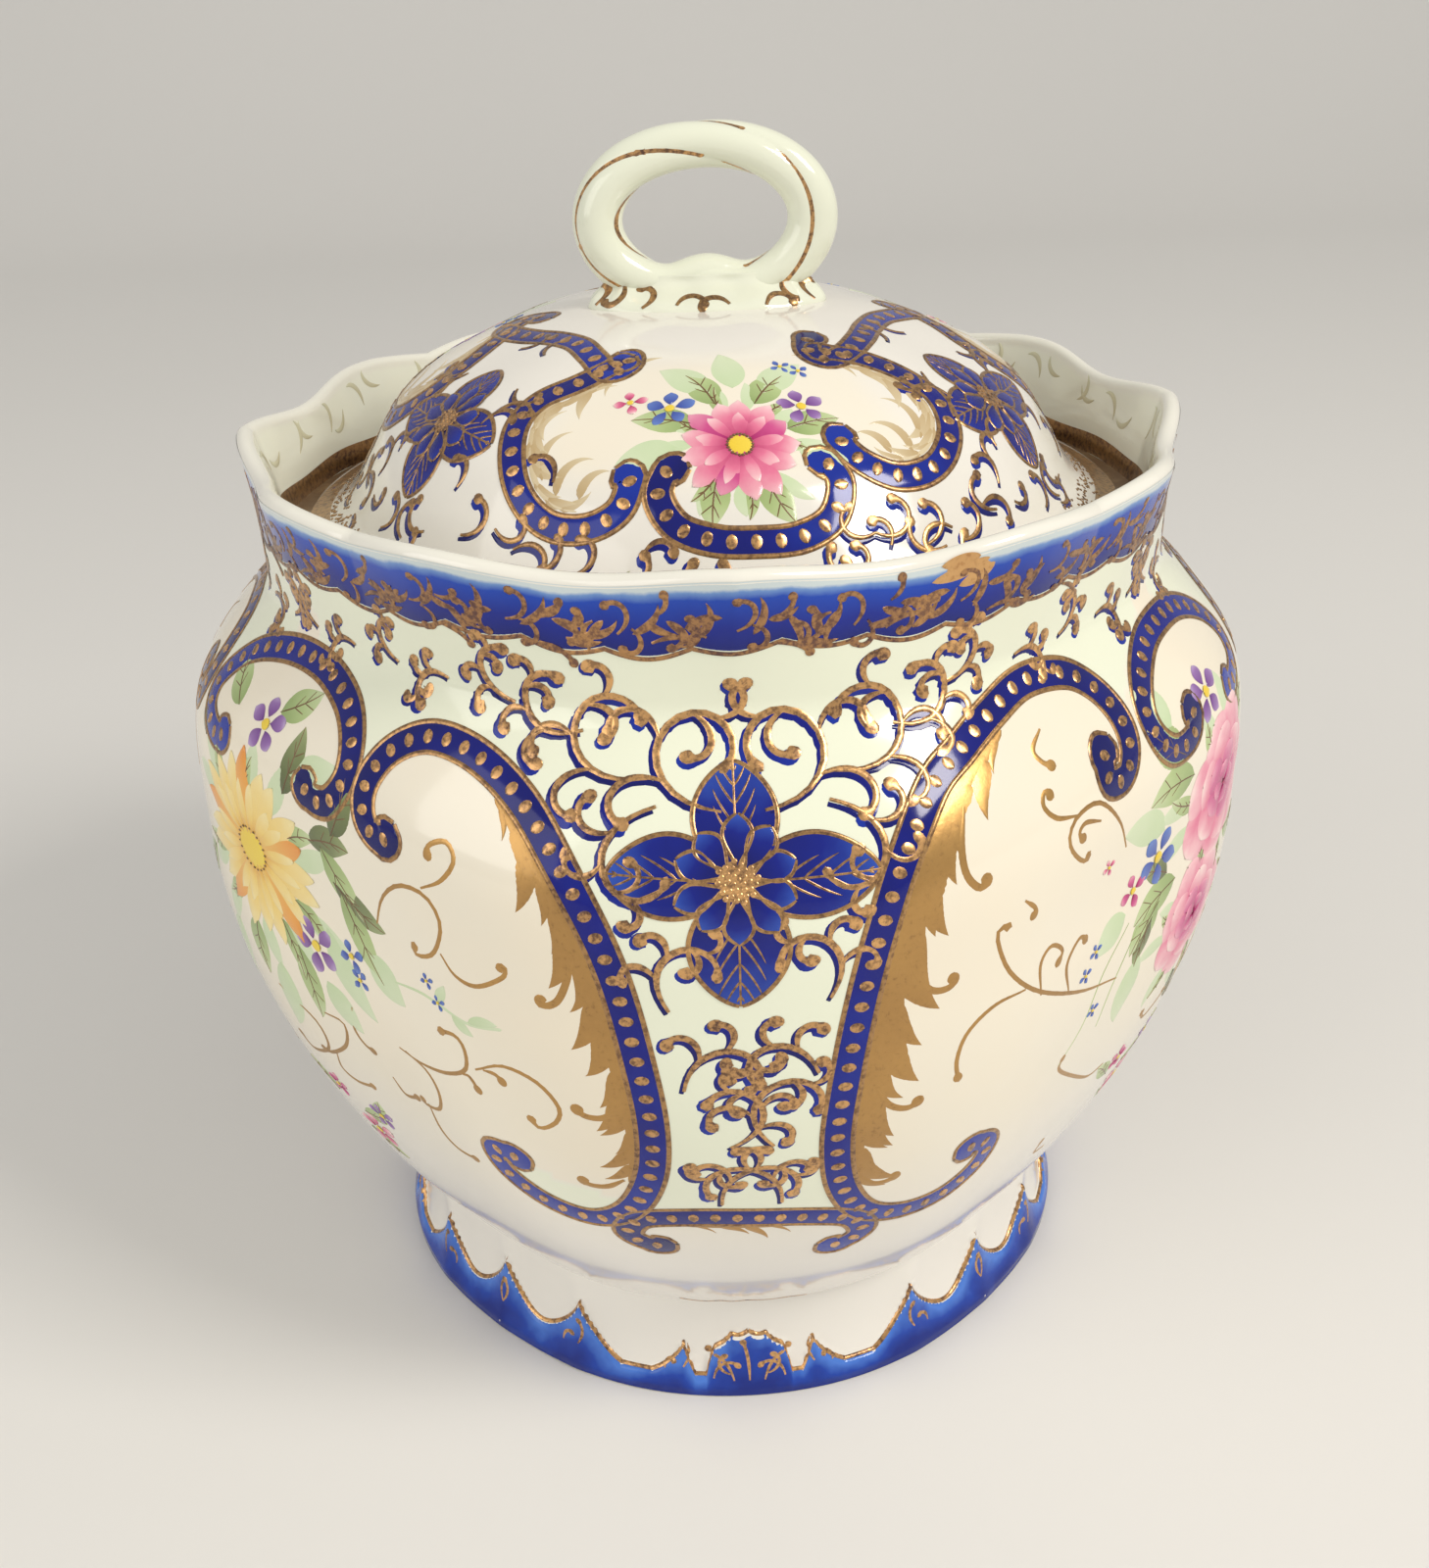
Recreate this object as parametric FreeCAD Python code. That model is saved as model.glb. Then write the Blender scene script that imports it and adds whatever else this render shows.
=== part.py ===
"""A porcelain biscuit jar with a lift-off lid, in millimetres, +Z up.

The origin is on the table, at the middle of the foot. The jar's front faces -Y.
Four broad lobes face the front, the back and the two sides, and a soft groove
runs up between each two of them, from the foot to a fold in the collar's edge.
Around the rim, an angle is measured from the middle of the nearest lobe.
"""
import FreeCAD, Part
import math
import os

# The jar's own sizes.
foot_radius = 58.0
foot_height = 18.5
foot_top_radius = 56.0
foot_cove = 1.6
foot_wall = 5.2
foot_groove = 1.2
foot_edge = 0.8
waist_groove = 2.6

belly_radius = 80.7
belly_height = 83.0
belly_groove = 5.6
body_wall = 3.2
floor_thickness = 4.0

neck_radius = 66.5
neck_height = 122.0
neck_groove = 2.2
collar_height = 18.0
collar_flare = 3.0
collar_groove_loss = 0.8
rim_thickness = 2.6

# How the profile bends: lower is fuller below, higher is fuller above.
belly_fullness = 0.82
shoulder_hold = 2.6
collar_curl = 1.6
groove_sharpness = 4
groove_growth = 1.4
foot_cove_low = 0.8

# The rim's wave: two smooth dips, a sharp ridge and a sharp fold in each quarter.
dip_middle = 16.5
dip_fall = 2.0
dip_inset = 2.6
fold_reach = 10.0
fold_fall = 1.3
fold_inset = 1.8
ridge_reach = 3.5
ridge_out = 0.7

# The ledge that carries the lid, and the lid.
seat_bore = 54.5
seat_thickness = 4.0
seat_gap = 0.1
seat_soft_edge = 0.9
ring_clearance = 0.8
ring_wall = 3.0
ring_depth = 6.0
ring_soft_edge = 0.8

lid_radius = 59.8
lid_edge = 1.8
lid_wall = 3.0
lid_rise = 28.4
lid_brow_radius = 45.8
lid_foot_slope = 3.4
lid_foot_run = 7.6
lid_foot_waist = 3.9
lid_edge_run = 2.2
lid_edge_fall = 0.5
# The dome as shares of the brow's radius, and of the lid's rise down from its top.
lid_dome = ((0.367, 0.014), (0.557, 0.07), (0.734, 0.175), (0.886, 0.305), (1.0, 0.465))
lid_waist_share = 0.675

# The loop on the lid and the flared clay pad under it.
loop_half_width = 15.2
loop_height = 20.7
loop_thick_top = 6.4
loop_thick_side = 7.2
loop_bump = 2.2
loop_bump_reach = 4.2
loop_raise = 0.45
loop_inset = 0.2
pad_half_length = 16.3
pad_half_width = 7.2
pad_rise = 3.2
pad_top_half_length = 14.8
pad_top_half_width = 3.8
pad_root = 3.0
pad_skirt = 0.6

# How finely the wavy outlines are set out.
points_round = 96
body_steps = 11
shoulder_steps = 11

rim_height = neck_height + collar_height
seat_top = neck_height + seat_thickness
lid_under = seat_top + seat_gap
lid_top = lid_under + lid_edge + lid_rise
floor_top = foot_height + floor_thickness
ring_radius = seat_bore - ring_clearance


def smooth(share):
    """A share from 0 to 1, with a level start and end."""
    held = min(max(share, 0.0), 1.0)
    return held * held * (3.0 - 2.0 * held)


def mix(first, last, share):
    return first + (last - first) * share


def from_lobe(turn):
    """The angle in degrees from the middle of the nearest lobe, 0 to 45."""
    return abs((turn + 45.0) % 90.0 - 45.0)


def groove_share(turn):
    """0 on a lobe's middle and 1 in the groove between two lobes."""
    return math.sin(math.radians(2.0 * turn)) ** groove_sharpness


def dip_share(turn):
    """1 at the lowest place of each smooth dip in the rim."""
    along = from_lobe(turn) / (2.0 * dip_middle)
    return math.sin(math.pi * along) ** 2 if along < 1.0 else 0.0


def fold_share(turn):
    """1 at the fold over each groove, with straight sides."""
    return max(0.0, 1.0 - (45.0 - from_lobe(turn)) / fold_reach) ** 1.3


def ridge_share(turn):
    """1 at the sharp ridge on each lobe's middle."""
    return math.exp(-from_lobe(turn) / ridge_reach)


def lobe_radius(height):
    """The radius on a lobe's middle, from the foot's top to the rim."""
    if height <= belly_height:
        share = (height - foot_height) / (belly_height - foot_height)
        bulge = math.sin(0.5 * math.pi * max(share, 0.0)) ** belly_fullness
        return mix(foot_top_radius, belly_radius, bulge)
    if height <= neck_height:
        share = (height - belly_height) / (neck_height - belly_height)
        return mix(belly_radius, neck_radius, smooth(share ** shoulder_hold))
    share = (height - neck_height) / collar_height
    return neck_radius + collar_flare * share ** collar_curl


def groove_depth(height):
    """How far a groove's bottom lies inside the lobes."""
    if height <= belly_height:
        share = (height - foot_height) / (belly_height - foot_height)
        return mix(waist_groove, belly_groove, smooth(groove_growth * share))
    if height <= neck_height:
        share = (height - belly_height) / (neck_height - belly_height)
        return mix(belly_groove, neck_groove, smooth(share))
    return neck_groove * (1.0 - collar_groove_loss * (height - neck_height) / collar_height)


def wall_point(turn, height, inset):
    """A point of the jar's wall, inset from its outside."""
    lift = max(0.0, (height - neck_height) / collar_height)
    radius = lobe_radius(height) - groove_depth(height) * groove_share(turn)
    radius -= lift ** 1.5 * dip_inset * dip_share(turn)
    radius -= lift * fold_inset * fold_share(turn)
    radius += lift * ridge_out * ridge_share(turn)
    radius -= inset
    drop = dip_fall * dip_share(turn) + fold_fall * fold_share(turn)
    return polar(turn, radius, height - lift ** 2 * drop)


def foot_point(turn, height, inset):
    """A point of the foot ring, whose sides draw in a little above the base."""
    share = height / foot_height
    cove = foot_cove * math.sin(math.pi * share ** foot_cove_low)
    radius = mix(foot_radius, foot_top_radius, share) - cove
    radius -= mix(foot_groove, waist_groove, share) * groove_share(turn)
    return polar(turn, radius - inset, height)


def polar(turn, radius, height):
    """A point by its angle from the front, its radius and its height."""
    angle = math.radians(turn)
    return FreeCAD.Vector(radius * math.sin(angle), -radius * math.cos(angle), height)


def round_wire(place, height, inset):
    """A closed smooth outline round the jar, at one height and inset."""
    points = [place(360.0 * step / points_round, height, inset) for step in range(points_round)]
    curve = Part.BSplineCurve()
    marks = [step / points_round for step in range(points_round + 1)]
    curve.interpolate(Points=points, PeriodicFlag=True, Parameters=marks)
    return Part.Wire(curve.toShape())


def steps_between(first, last, count, power=1.0):
    """Heights from first to last, closer together near first when power is over 1."""
    return [mix(first, last, (step / count) ** power) for step in range(count + 1)]


def body_heights(start):
    """The heights at which the body's wall is set out, up to the neck."""
    lower = steps_between(start, belly_height, body_steps, 1.8)
    upper = steps_between(belly_height, neck_height, shoulder_steps)
    return lower + upper[1:]


def lofted(place, heights, inset):
    """A solid through one outline at each height."""
    return Part.makeLoft([round_wire(place, height, inset) for height in heights], True)


def make_bowl():
    """The lobed body: its wall up to the neck, and its flat floor."""
    outside = lofted(wall_point, body_heights(foot_height), 0.0)
    inside = lofted(wall_point, body_heights(floor_top), body_wall)
    return outside.cut(inside)


def rim_wire(angle):
    """An outline round the collar's rounded edge, turned by an angle from its outside."""
    half = 0.5 * rim_thickness
    top = rim_height - half
    inset = half * (1.0 - math.cos(angle))
    rise = half * math.sin(angle)

    def place(turn, height, shift):
        point = wall_point(turn, height, shift)
        return point + FreeCAD.Vector(0.0, 0.0, rise)

    return round_wire(place, top, inset)


def collar_wires():
    """Outlines up the collar's outside, over its edge and down its inside."""
    straight_top = rim_height - 0.5 * rim_thickness
    heights = steps_between(neck_height, straight_top, 6)[:-1]
    wires = [round_wire(wall_point, height, 0.0) for height in heights]
    wires += [rim_wire(math.pi * step / 4.0) for step in range(5)]
    for height in reversed(heights):
        share = (height - neck_height) / (straight_top - neck_height)
        wires.append(round_wire(wall_point, height, mix(body_wall, rim_thickness, share)))
    return wires


def make_collar():
    """The scalloped collar, whose wavy edge is one smooth turn over."""
    wires = collar_wires()
    skin = Part.makeLoft(wires, False)
    base = Part.Face(wires[0]).cut(Part.Face(wires[-1]))
    shell = Part.makeShell(skin.Faces + base.Faces)
    shell.sewShape()
    return outward(Part.makeSolid(Part.Shell(shell.Faces)))


def outward(solid):
    """The same solid with its faces turned outwards."""
    if solid.Volume < 0.0:
        solid.reverse()
    return solid


def ring_solid(inner, outer, low, high):
    """A plain upright ring."""
    body = Part.makeCylinder(outer, high - low, FreeCAD.Vector(0, 0, low))
    return body.cut(Part.makeCylinder(inner, high - low, FreeCAD.Vector(0, 0, low)))


def collar_inside():
    """The space inside the collar, by the inner outlines of its wall."""
    wires = collar_wires()[-6:]
    return Part.makeLoft(list(reversed(wires)), True)


def make_seat():
    """The ledge inside the neck that the lid's edge rests on."""
    ring = ring_solid(seat_bore, neck_radius, neck_height, seat_top)
    edge = [item for item in ring.Edges if is_round_at(item, seat_bore)]
    return ring.makeFillet(seat_soft_edge, edge).common(collar_inside())


def is_round_at(edge, radius):
    """True for a full circle of that radius."""
    return hasattr(edge.Curve, "Radius") and abs(edge.Curve.Radius - radius) < 1e-6 and edge.Closed


def edge_inset(height):
    """How far the foot's rounded lower edges draw in at a height."""
    below = max(0.0, 1.0 - height / foot_edge)
    return foot_edge * (1.0 - math.sqrt(1.0 - below ** 2))


def foot_side(shift, side):
    """One side of the foot as a solid: side is 1 for the outside and -1 for the inside."""
    round_part = steps_between(0.0, foot_edge, 3, 1.5)
    heights = round_part + steps_between(foot_edge, foot_height, 9, 1.7)[1:]
    wires = [round_wire(foot_point, height, shift + side * edge_inset(height)) for height in heights]
    return Part.makeLoft(wires, True)


def make_foot():
    """The foot ring, open inside, with softened edges at the table."""
    return foot_side(0.0, 1.0).cut(foot_side(foot_wall, -1.0))


def lid_profile():
    """The lid's outer half outline, from its middle to its edge, as one curve."""
    edge_top = lid_under + lid_edge
    points = [(0.0, lid_top)]
    points += [(out * lid_brow_radius, lid_top - down * lid_rise) for out, down in lid_dome]
    points += [
        (lid_brow_radius + lid_foot_waist, lid_top - lid_waist_share * lid_rise),
        (lid_brow_radius + lid_foot_run, edge_top + lid_foot_slope),
        (lid_radius - lid_edge_run, edge_top + lid_edge_fall),
        (lid_radius, edge_top),
    ]
    curve = Part.BSplineCurve()
    places = [FreeCAD.Vector(radius, 0.0, height) for radius, height in points]
    curve.interpolate(Points=places, InitialTangent=FreeCAD.Vector(1, 0, 0),
                      FinalTangent=FreeCAD.Vector(1, 0, -0.15), Scale=True)
    return curve


def lid_inner_profile(outer):
    """The lid's inner half outline, one wall inside the outer one."""
    reach = outer.LastParameter
    places = []
    for step in range(13):
        at = reach * step / 12.0
        point = outer.value(at)
        along = outer.tangent(at)[0]
        inward = FreeCAD.Vector(-abs(along.z), 0.0, -abs(along.x))
        place = point + inward * lid_wall
        if place.z > lid_under + 1.0 and place.x < ring_radius - ring_wall:
            places.append(FreeCAD.Vector(max(place.x, 0.0), 0.0, place.z))
    places.append(FreeCAD.Vector(ring_radius - ring_wall, 0.0, lid_under))
    curve = Part.BSplineCurve()
    curve.interpolate(Points=places)
    return curve


def turned(edges):
    """A solid made by turning a closed outline once round the upright axis."""
    face = Part.Face(Part.Wire(edges))
    solid = face.revolve(FreeCAD.Vector(0, 0, 0), FreeCAD.Vector(0, 0, 1), 360.0)
    return outward(solid)


def line(first, last):
    return Part.LineSegment(first, last).toShape()


def make_lid_dome():
    """The lid's domed shell, down to the flat underside of its edge."""
    outer = lid_profile()
    inner = lid_inner_profile(outer)
    out_start = outer.value(outer.FirstParameter)
    out_end = outer.value(outer.LastParameter)
    in_start = inner.value(inner.FirstParameter)
    in_end = inner.value(inner.LastParameter)
    corner = FreeCAD.Vector(lid_radius, 0.0, lid_under)
    rim = line(out_end, corner)
    under = line(corner, in_end)
    axis = line(in_start, out_start)
    return turned([outer.toShape(), rim, under, inner.toShape(), axis])


def lid_block():
    """The lid's outside as one full solid, to trim what stands on it."""
    outer = lid_profile()
    out_start = outer.value(outer.FirstParameter)
    out_end = outer.value(outer.LastParameter)
    corner = FreeCAD.Vector(lid_radius, 0.0, lid_under)
    centre = FreeCAD.Vector(0.0, 0.0, lid_under)
    edges = [outer.toShape(), line(out_end, corner), line(corner, centre), line(centre, out_start)]
    return turned(edges)


def make_locating_ring():
    """The ring under the lid that drops into the ledge's bore."""
    ring = ring_solid(ring_radius - ring_wall, ring_radius, lid_under - ring_depth, lid_under)
    low = lid_under - ring_depth
    edges = [item for item in ring.Edges if item.BoundBox.ZMax < low + 0.01 and item.Closed]
    return ring.makeFillet(ring_soft_edge, edges)


def loop_centre(angle):
    """The loop's middle line: an oval, pushed up at the foot into a rounded bump."""
    middle = lid_top + 0.5 * loop_height + loop_raise
    half = 0.5 * loop_height - loop_inset
    across = loop_half_width * math.sin(angle)
    up = half * math.cos(angle)
    bump = loop_bump * math.exp(-((across / loop_bump_reach) ** 2)) if up < 0.0 else 0.0
    return FreeCAD.Vector(across, 0.0, middle + up + bump)


def loop_section(angle):
    """A round outline square to the loop's middle line."""
    nudge = 0.01
    along = loop_centre(angle + nudge) - loop_centre(angle - nudge)
    side = math.sin(angle) ** 2
    radius = 0.5 * mix(loop_thick_top, loop_thick_side, side)
    return Part.Wire(Part.makeCircle(radius, loop_centre(angle), along))


def make_loop():
    """The upright loop that is held to lift the lid."""
    count = 16
    sections = [loop_section(math.pi * step / count) for step in range(count + 1)]
    half = Part.makeLoft(sections, True).cut(lid_block())
    other = half.mirror(FreeCAD.Vector(0, 0, 0), FreeCAD.Vector(1, 0, 0))
    return half.fuse(other)


def oval(half_length, half_width, height):
    """An oval outline, long across the jar."""
    centre = FreeCAD.Vector(0.0, 0.0, height)
    return Part.Wire(Part.Ellipse(centre, half_length, half_width).toShape())


def make_pad(loop):
    """The flared pad of clay that joins the loop to the lid."""
    low = oval(pad_half_length, pad_half_width, lid_top - pad_root)
    middle = oval(pad_half_length, pad_half_width, lid_top - pad_skirt)
    high = oval(pad_top_half_length, pad_top_half_width, lid_top + pad_rise)
    return Part.makeLoft([low, middle, high], True, True).cut(lid_block()).cut(loop)


def biggest(shape):
    """The largest solid of a shape."""
    return max(shape.Solids, key=lambda item: item.Volume)


def write_part(name, shape):
    """Check one piece, say its volume and write it."""
    solid = biggest(shape)
    print(name, "valid", solid.isValid(), "solids", len(shape.Solids), "cm3", round(solid.Volume / 1000.0, 2))
    shape.exportStep("parts/" + name + ".step")


def main():
    os.makedirs("parts", exist_ok=True)
    loop = make_loop()
    write_part("jar_bowl", make_bowl())
    write_part("scalloped_collar", make_collar())
    write_part("lid_seat", make_seat())
    write_part("foot_ring", make_foot())
    write_part("lid_dome", make_lid_dome())
    write_part("lid_locating_ring", make_locating_ring())
    write_part("loop_handle", loop)
    write_part("handle_pad", make_pad(loop))


main()
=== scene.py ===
# %% [markdown]
# # A painted porcelain biscuit jar
# The jar is one lobed pot with a waved collar, and a lid that lifts off by a loop.
# The frame gives its solids at their real size. They carry no paint, so the clay pieces
# are made again here as smooth surfaces from the same formulas, and the painting is
# laid on them as thin strokes of cobalt, gold and enamel, as a decorator's brush does.

# %% Load the frame
import bpy
import math
import numpy as np
from mathutils import Matrix, Vector


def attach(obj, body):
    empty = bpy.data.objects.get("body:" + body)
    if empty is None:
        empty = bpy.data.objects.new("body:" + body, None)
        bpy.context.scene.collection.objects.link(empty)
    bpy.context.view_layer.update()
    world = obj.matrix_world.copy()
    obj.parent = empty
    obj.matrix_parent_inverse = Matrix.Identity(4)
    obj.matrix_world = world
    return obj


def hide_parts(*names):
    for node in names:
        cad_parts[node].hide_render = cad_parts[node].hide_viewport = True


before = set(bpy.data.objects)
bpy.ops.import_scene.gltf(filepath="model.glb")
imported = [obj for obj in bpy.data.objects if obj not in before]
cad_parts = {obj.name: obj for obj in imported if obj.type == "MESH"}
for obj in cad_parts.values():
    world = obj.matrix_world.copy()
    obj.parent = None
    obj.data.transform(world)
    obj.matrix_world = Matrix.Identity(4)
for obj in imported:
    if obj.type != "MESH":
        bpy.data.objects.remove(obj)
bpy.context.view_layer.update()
MM = 0.001

# %% [markdown]
# ## The shape of the wall
# Every place on the jar has a turn, in degrees from the front, and a height in
# millimetres. One formula gives the radius there: a smooth profile, less a groove
# between each two lobes, less the waves of the rim. Working with whole arrays keeps
# it quick, and the strokes below can use the same formula to lie on the wall.

# %% Sizes of the pot
FOOT_HEIGHT, BELLY_HEIGHT, NECK_HEIGHT, COLLAR = 18.5, 83.0, 122.0, 18.0
FOOT_RADIUS, WAIST_RADIUS, BELLY_RADIUS, NECK_RADIUS = 58.0, 56.0, 80.7, 66.5
WALL, RIM_THICK, FLOOR_TOP = 3.2, 2.6, 22.5
GROOVE_FOOT, GROOVE_BELLY, GROOVE_NECK = 2.6, 5.6, 2.2
DIP_END, FOLD_REACH = 33.0, 10.0


def smooth(share):
    """A share from 0 to 1 with a level start and end: 3 s squared less 2 s cubed."""
    held = np.clip(share, 0.0, 1.0)
    return held * held * (3.0 - 2.0 * held)


def mix(first, last, share):
    """A straight blend from first to last."""
    return first + (last - first) * share


# %% Round the jar
def from_lobe(turn):
    """Degrees from the middle of the nearest lobe, 0 to 45."""
    return np.abs((turn + 45.0) % 90.0 - 45.0)


def groove_share(turn):
    """The fourth power of the sine of twice the turn: 0 on a lobe, 1 in a groove."""
    return np.sin(np.radians(2.0 * turn)) ** 4


def rim_waves(turn):
    """The rim's dip, fold and ridge at a turn, each from 0 to 1."""
    off = from_lobe(turn)
    dip = np.where(off < DIP_END, np.sin(math.pi * off / DIP_END) ** 2, 0.0)
    fold = np.maximum(0.0, 1.0 - (45.0 - off) / FOLD_REACH) ** 1.3
    return dip, fold, np.exp(-off / 3.5)


# %% Up the jar
def lobe_radius(height):
    """The radius on a lobe: a bulging sine to the belly, an S to the neck, a flare."""
    low = np.clip((height - FOOT_HEIGHT) / (BELLY_HEIGHT - FOOT_HEIGHT), 0.0, 1.0)
    high = np.clip((height - BELLY_HEIGHT) / (NECK_HEIGHT - BELLY_HEIGHT), 0.0, 1.0)
    top = np.clip((height - NECK_HEIGHT) / COLLAR, 0.0, 1.2)
    body = mix(WAIST_RADIUS, BELLY_RADIUS, np.sin(0.5 * math.pi * low) ** 0.82)
    shoulder = mix(BELLY_RADIUS, NECK_RADIUS, smooth(high ** 2.6))
    collar = NECK_RADIUS + 3.0 * top ** 1.6
    return np.where(height <= BELLY_HEIGHT, body, np.where(height <= NECK_HEIGHT, shoulder, collar))


def groove_depth(height):
    """How deep a groove is at a height."""
    low = (height - FOOT_HEIGHT) / (BELLY_HEIGHT - FOOT_HEIGHT)
    high = (height - BELLY_HEIGHT) / (NECK_HEIGHT - BELLY_HEIGHT)
    top = (height - NECK_HEIGHT) / COLLAR
    body = mix(GROOVE_FOOT, GROOVE_BELLY, smooth(1.4 * low))
    shoulder = mix(GROOVE_BELLY, GROOVE_NECK, smooth(high))
    collar = GROOVE_NECK * (1.0 - 0.8 * top)
    return np.where(height <= BELLY_HEIGHT, body, np.where(height <= NECK_HEIGHT, shoulder, collar))


def polar(turn, radius, height):
    """Points by turn, radius and height: x is r sin t, y is minus r cos t."""
    angle = np.radians(turn)
    return np.stack([radius * np.sin(angle), -radius * np.cos(angle), height + 0.0 * angle], axis=-1)


def wall(turn, height, inset=0.0):
    """A point of the body or collar: the profile less groove, dips and fold, plus ridge."""
    turn, height = np.broadcast_arrays(np.asarray(turn, float), np.asarray(height, float))
    lift = np.clip((height - NECK_HEIGHT) / COLLAR, 0.0, None)
    dip, fold, ridge = rim_waves(turn)
    radius = lobe_radius(height) - groove_depth(height) * groove_share(turn) - inset
    radius = radius - lift ** 1.5 * 2.6 * dip - lift * 1.8 * fold + lift * 0.7 * ridge
    return polar(turn, radius, height - lift ** 2 * (2.0 * dip + 1.3 * fold))


# %% [markdown]
# ## From grids to meshes
# A surface is a grid of points. Each cell of the grid is one four-sided face, and the
# grid can close on itself either way. Numbers kept on the points, such as how green the
# glaze is, go along as attributes, and the materials read them.

# %% Grid faces and pieces
def grid_faces(rows, columns, wrap_rows=False, wrap_columns=False):
    """Four corners for every cell of a grid, counted row by row."""
    row = np.arange(rows if wrap_rows else rows - 1)[:, None]
    column = np.arange(columns if wrap_columns else columns - 1)[None, :]
    next_row, next_column = (row + 1) % rows, (column + 1) % columns
    corners = [row * columns + column, row * columns + next_column,
               next_row * columns + next_column, next_row * columns + column]
    return np.stack([np.broadcast_to(item, (row.size, column.size)) for item in corners], -1).reshape(-1, 4)


def make_piece(name, points, faces, marks=None):
    """A smooth-shaded mesh from points in millimetres, with named number attributes."""
    mesh = bpy.data.meshes.new(name)
    points = np.asarray(points, float).reshape(-1, 3) * MM
    groups = faces if isinstance(faces, tuple) else (faces,)
    corners = np.concatenate([np.ravel(group) for group in groups]).astype(np.int32)
    sizes = np.concatenate([np.full(len(group), group.shape[1]) for group in groups])
    mesh.vertices.add(len(points))
    mesh.vertices.foreach_set("co", points.ravel())
    mesh.loops.add(len(corners))
    mesh.loops.foreach_set("vertex_index", corners)
    mesh.polygons.add(len(sizes))
    mesh.polygons.foreach_set("loop_start", (np.cumsum(sizes) - sizes).astype(np.int32))
    mesh.update(calc_edges=True)
    mesh.polygons.foreach_set("use_smooth", np.ones(len(sizes), bool))
    for mark, values in (marks or {}).items():
        layer = mesh.attributes.new(mark, "FLOAT", "POINT")
        layer.data.foreach_set("value", np.asarray(values, np.float32).ravel())
    mesh.validate()
    piece = bpy.data.objects.new(name, mesh)
    bpy.context.scene.collection.objects.link(piece)
    return piece


def finish_piece(piece, body, material):
    """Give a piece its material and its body."""
    piece.data.materials.append(material)
    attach(piece, body)
    return piece


# %% [markdown]
# ## Glazes
# Fired glaze is a thin clear glass over a pale clay. A principled shader with a hard
# coat gives that gloss. The clay's colour is not even: it is celadon, a pale grey
# green, where the decorator laid a wash, cream inside the painted panels, and white
# low down. Faint noise breaks the colour and ripples the gloss, as hand dipping does.

# %% Node helpers
def new_material(name, roughness=0.14, metallic=0.0, coat=0.35):
    """A material with its shader; returns the material, its tree and the shader."""
    material = bpy.data.materials.new(name)
    material.use_nodes = True
    tree = material.node_tree
    shader = tree.nodes["Principled BSDF"]
    shader.inputs["Roughness"].default_value = roughness
    shader.inputs["Metallic"].default_value = metallic
    shader.inputs["Coat Weight"].default_value = coat
    shader.inputs["Coat Roughness"].default_value = 0.06
    return material, tree, shader


def add(tree, kind, **inputs):
    """A node with some inputs set by name, where an underscore stands for a space."""
    node = tree.nodes.new(kind)
    for key, value in inputs.items():
        node.inputs[key.replace("_", " ")].default_value = value
    return node


def noise(tree, scale, detail=3.0, roughness=0.5):
    """Noise on the piece's own object coordinates, in metres."""
    place = tree.nodes.new("ShaderNodeTexCoord")
    node = add(tree, "ShaderNodeTexNoise", Scale=scale, Detail=detail, Roughness=roughness)
    tree.links.new(place.outputs["Object"], node.inputs["Vector"])
    return node.outputs["Fac"]


def ramp(tree, source, stops):
    """A colour ramp over a number; stops are pairs of place and colour."""
    node = tree.nodes.new("ShaderNodeValToRGB")
    bands = node.color_ramp.elements
    while len(bands) < len(stops):
        bands.new(0.5)
    for band, (place, colour) in zip(bands, stops):
        band.position = place
        band.color = (*colour, 1.0)
    tree.links.new(source, node.inputs["Fac"])
    return node.outputs["Color"]


def blend_colours(tree, share, first, last):
    """Two colours mixed by a share; each may be a socket or a plain colour."""
    node = tree.nodes.new("ShaderNodeMix")
    node.data_type = "RGBA"
    for socket, value in ((node.inputs[0], share), (node.inputs[6], first), (node.inputs[7], last)):
        if isinstance(value, bpy.types.NodeSocket):
            tree.links.new(value, socket)
        else:
            socket.default_value = value if isinstance(value, float) else (*value, 1.0)
    return node.outputs[2]


def scaled_sum(tree, value, factor, extra):
    """A number times a factor plus another number; both numbers are sockets."""
    node = tree.nodes.new("ShaderNodeMath")
    node.operation = "MULTIPLY_ADD"
    tree.links.new(value, node.inputs[0])
    node.inputs[1].default_value = factor
    tree.links.new(extra, node.inputs[2])
    return node.outputs[0]


def mark_value(tree, mark):
    """The number that a mesh attribute holds."""
    node = tree.nodes.new("ShaderNodeAttribute")
    node.attribute_name = mark
    return node.outputs["Fac"]


def ripple(tree, shader, scale=90.0, depth=0.00006, strength=0.35):
    """A faint unevenness of the glaze, as a bump under the gloss."""
    bump = add(tree, "ShaderNodeBump", Strength=strength, Distance=depth)
    tree.links.new(noise(tree, scale, 2.0), bump.inputs["Height"])
    tree.links.new(bump.outputs["Normal"], shader.inputs["Normal"])
    tree.links.new(bump.outputs["Normal"], shader.inputs["Coat Normal"])


# %% Glaze materials
WHITE_CLAY = (0.86, 0.83, 0.77)
CREAM = (0.90, 0.79, 0.60)
CELADON = (0.80, 0.83, 0.67)


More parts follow.
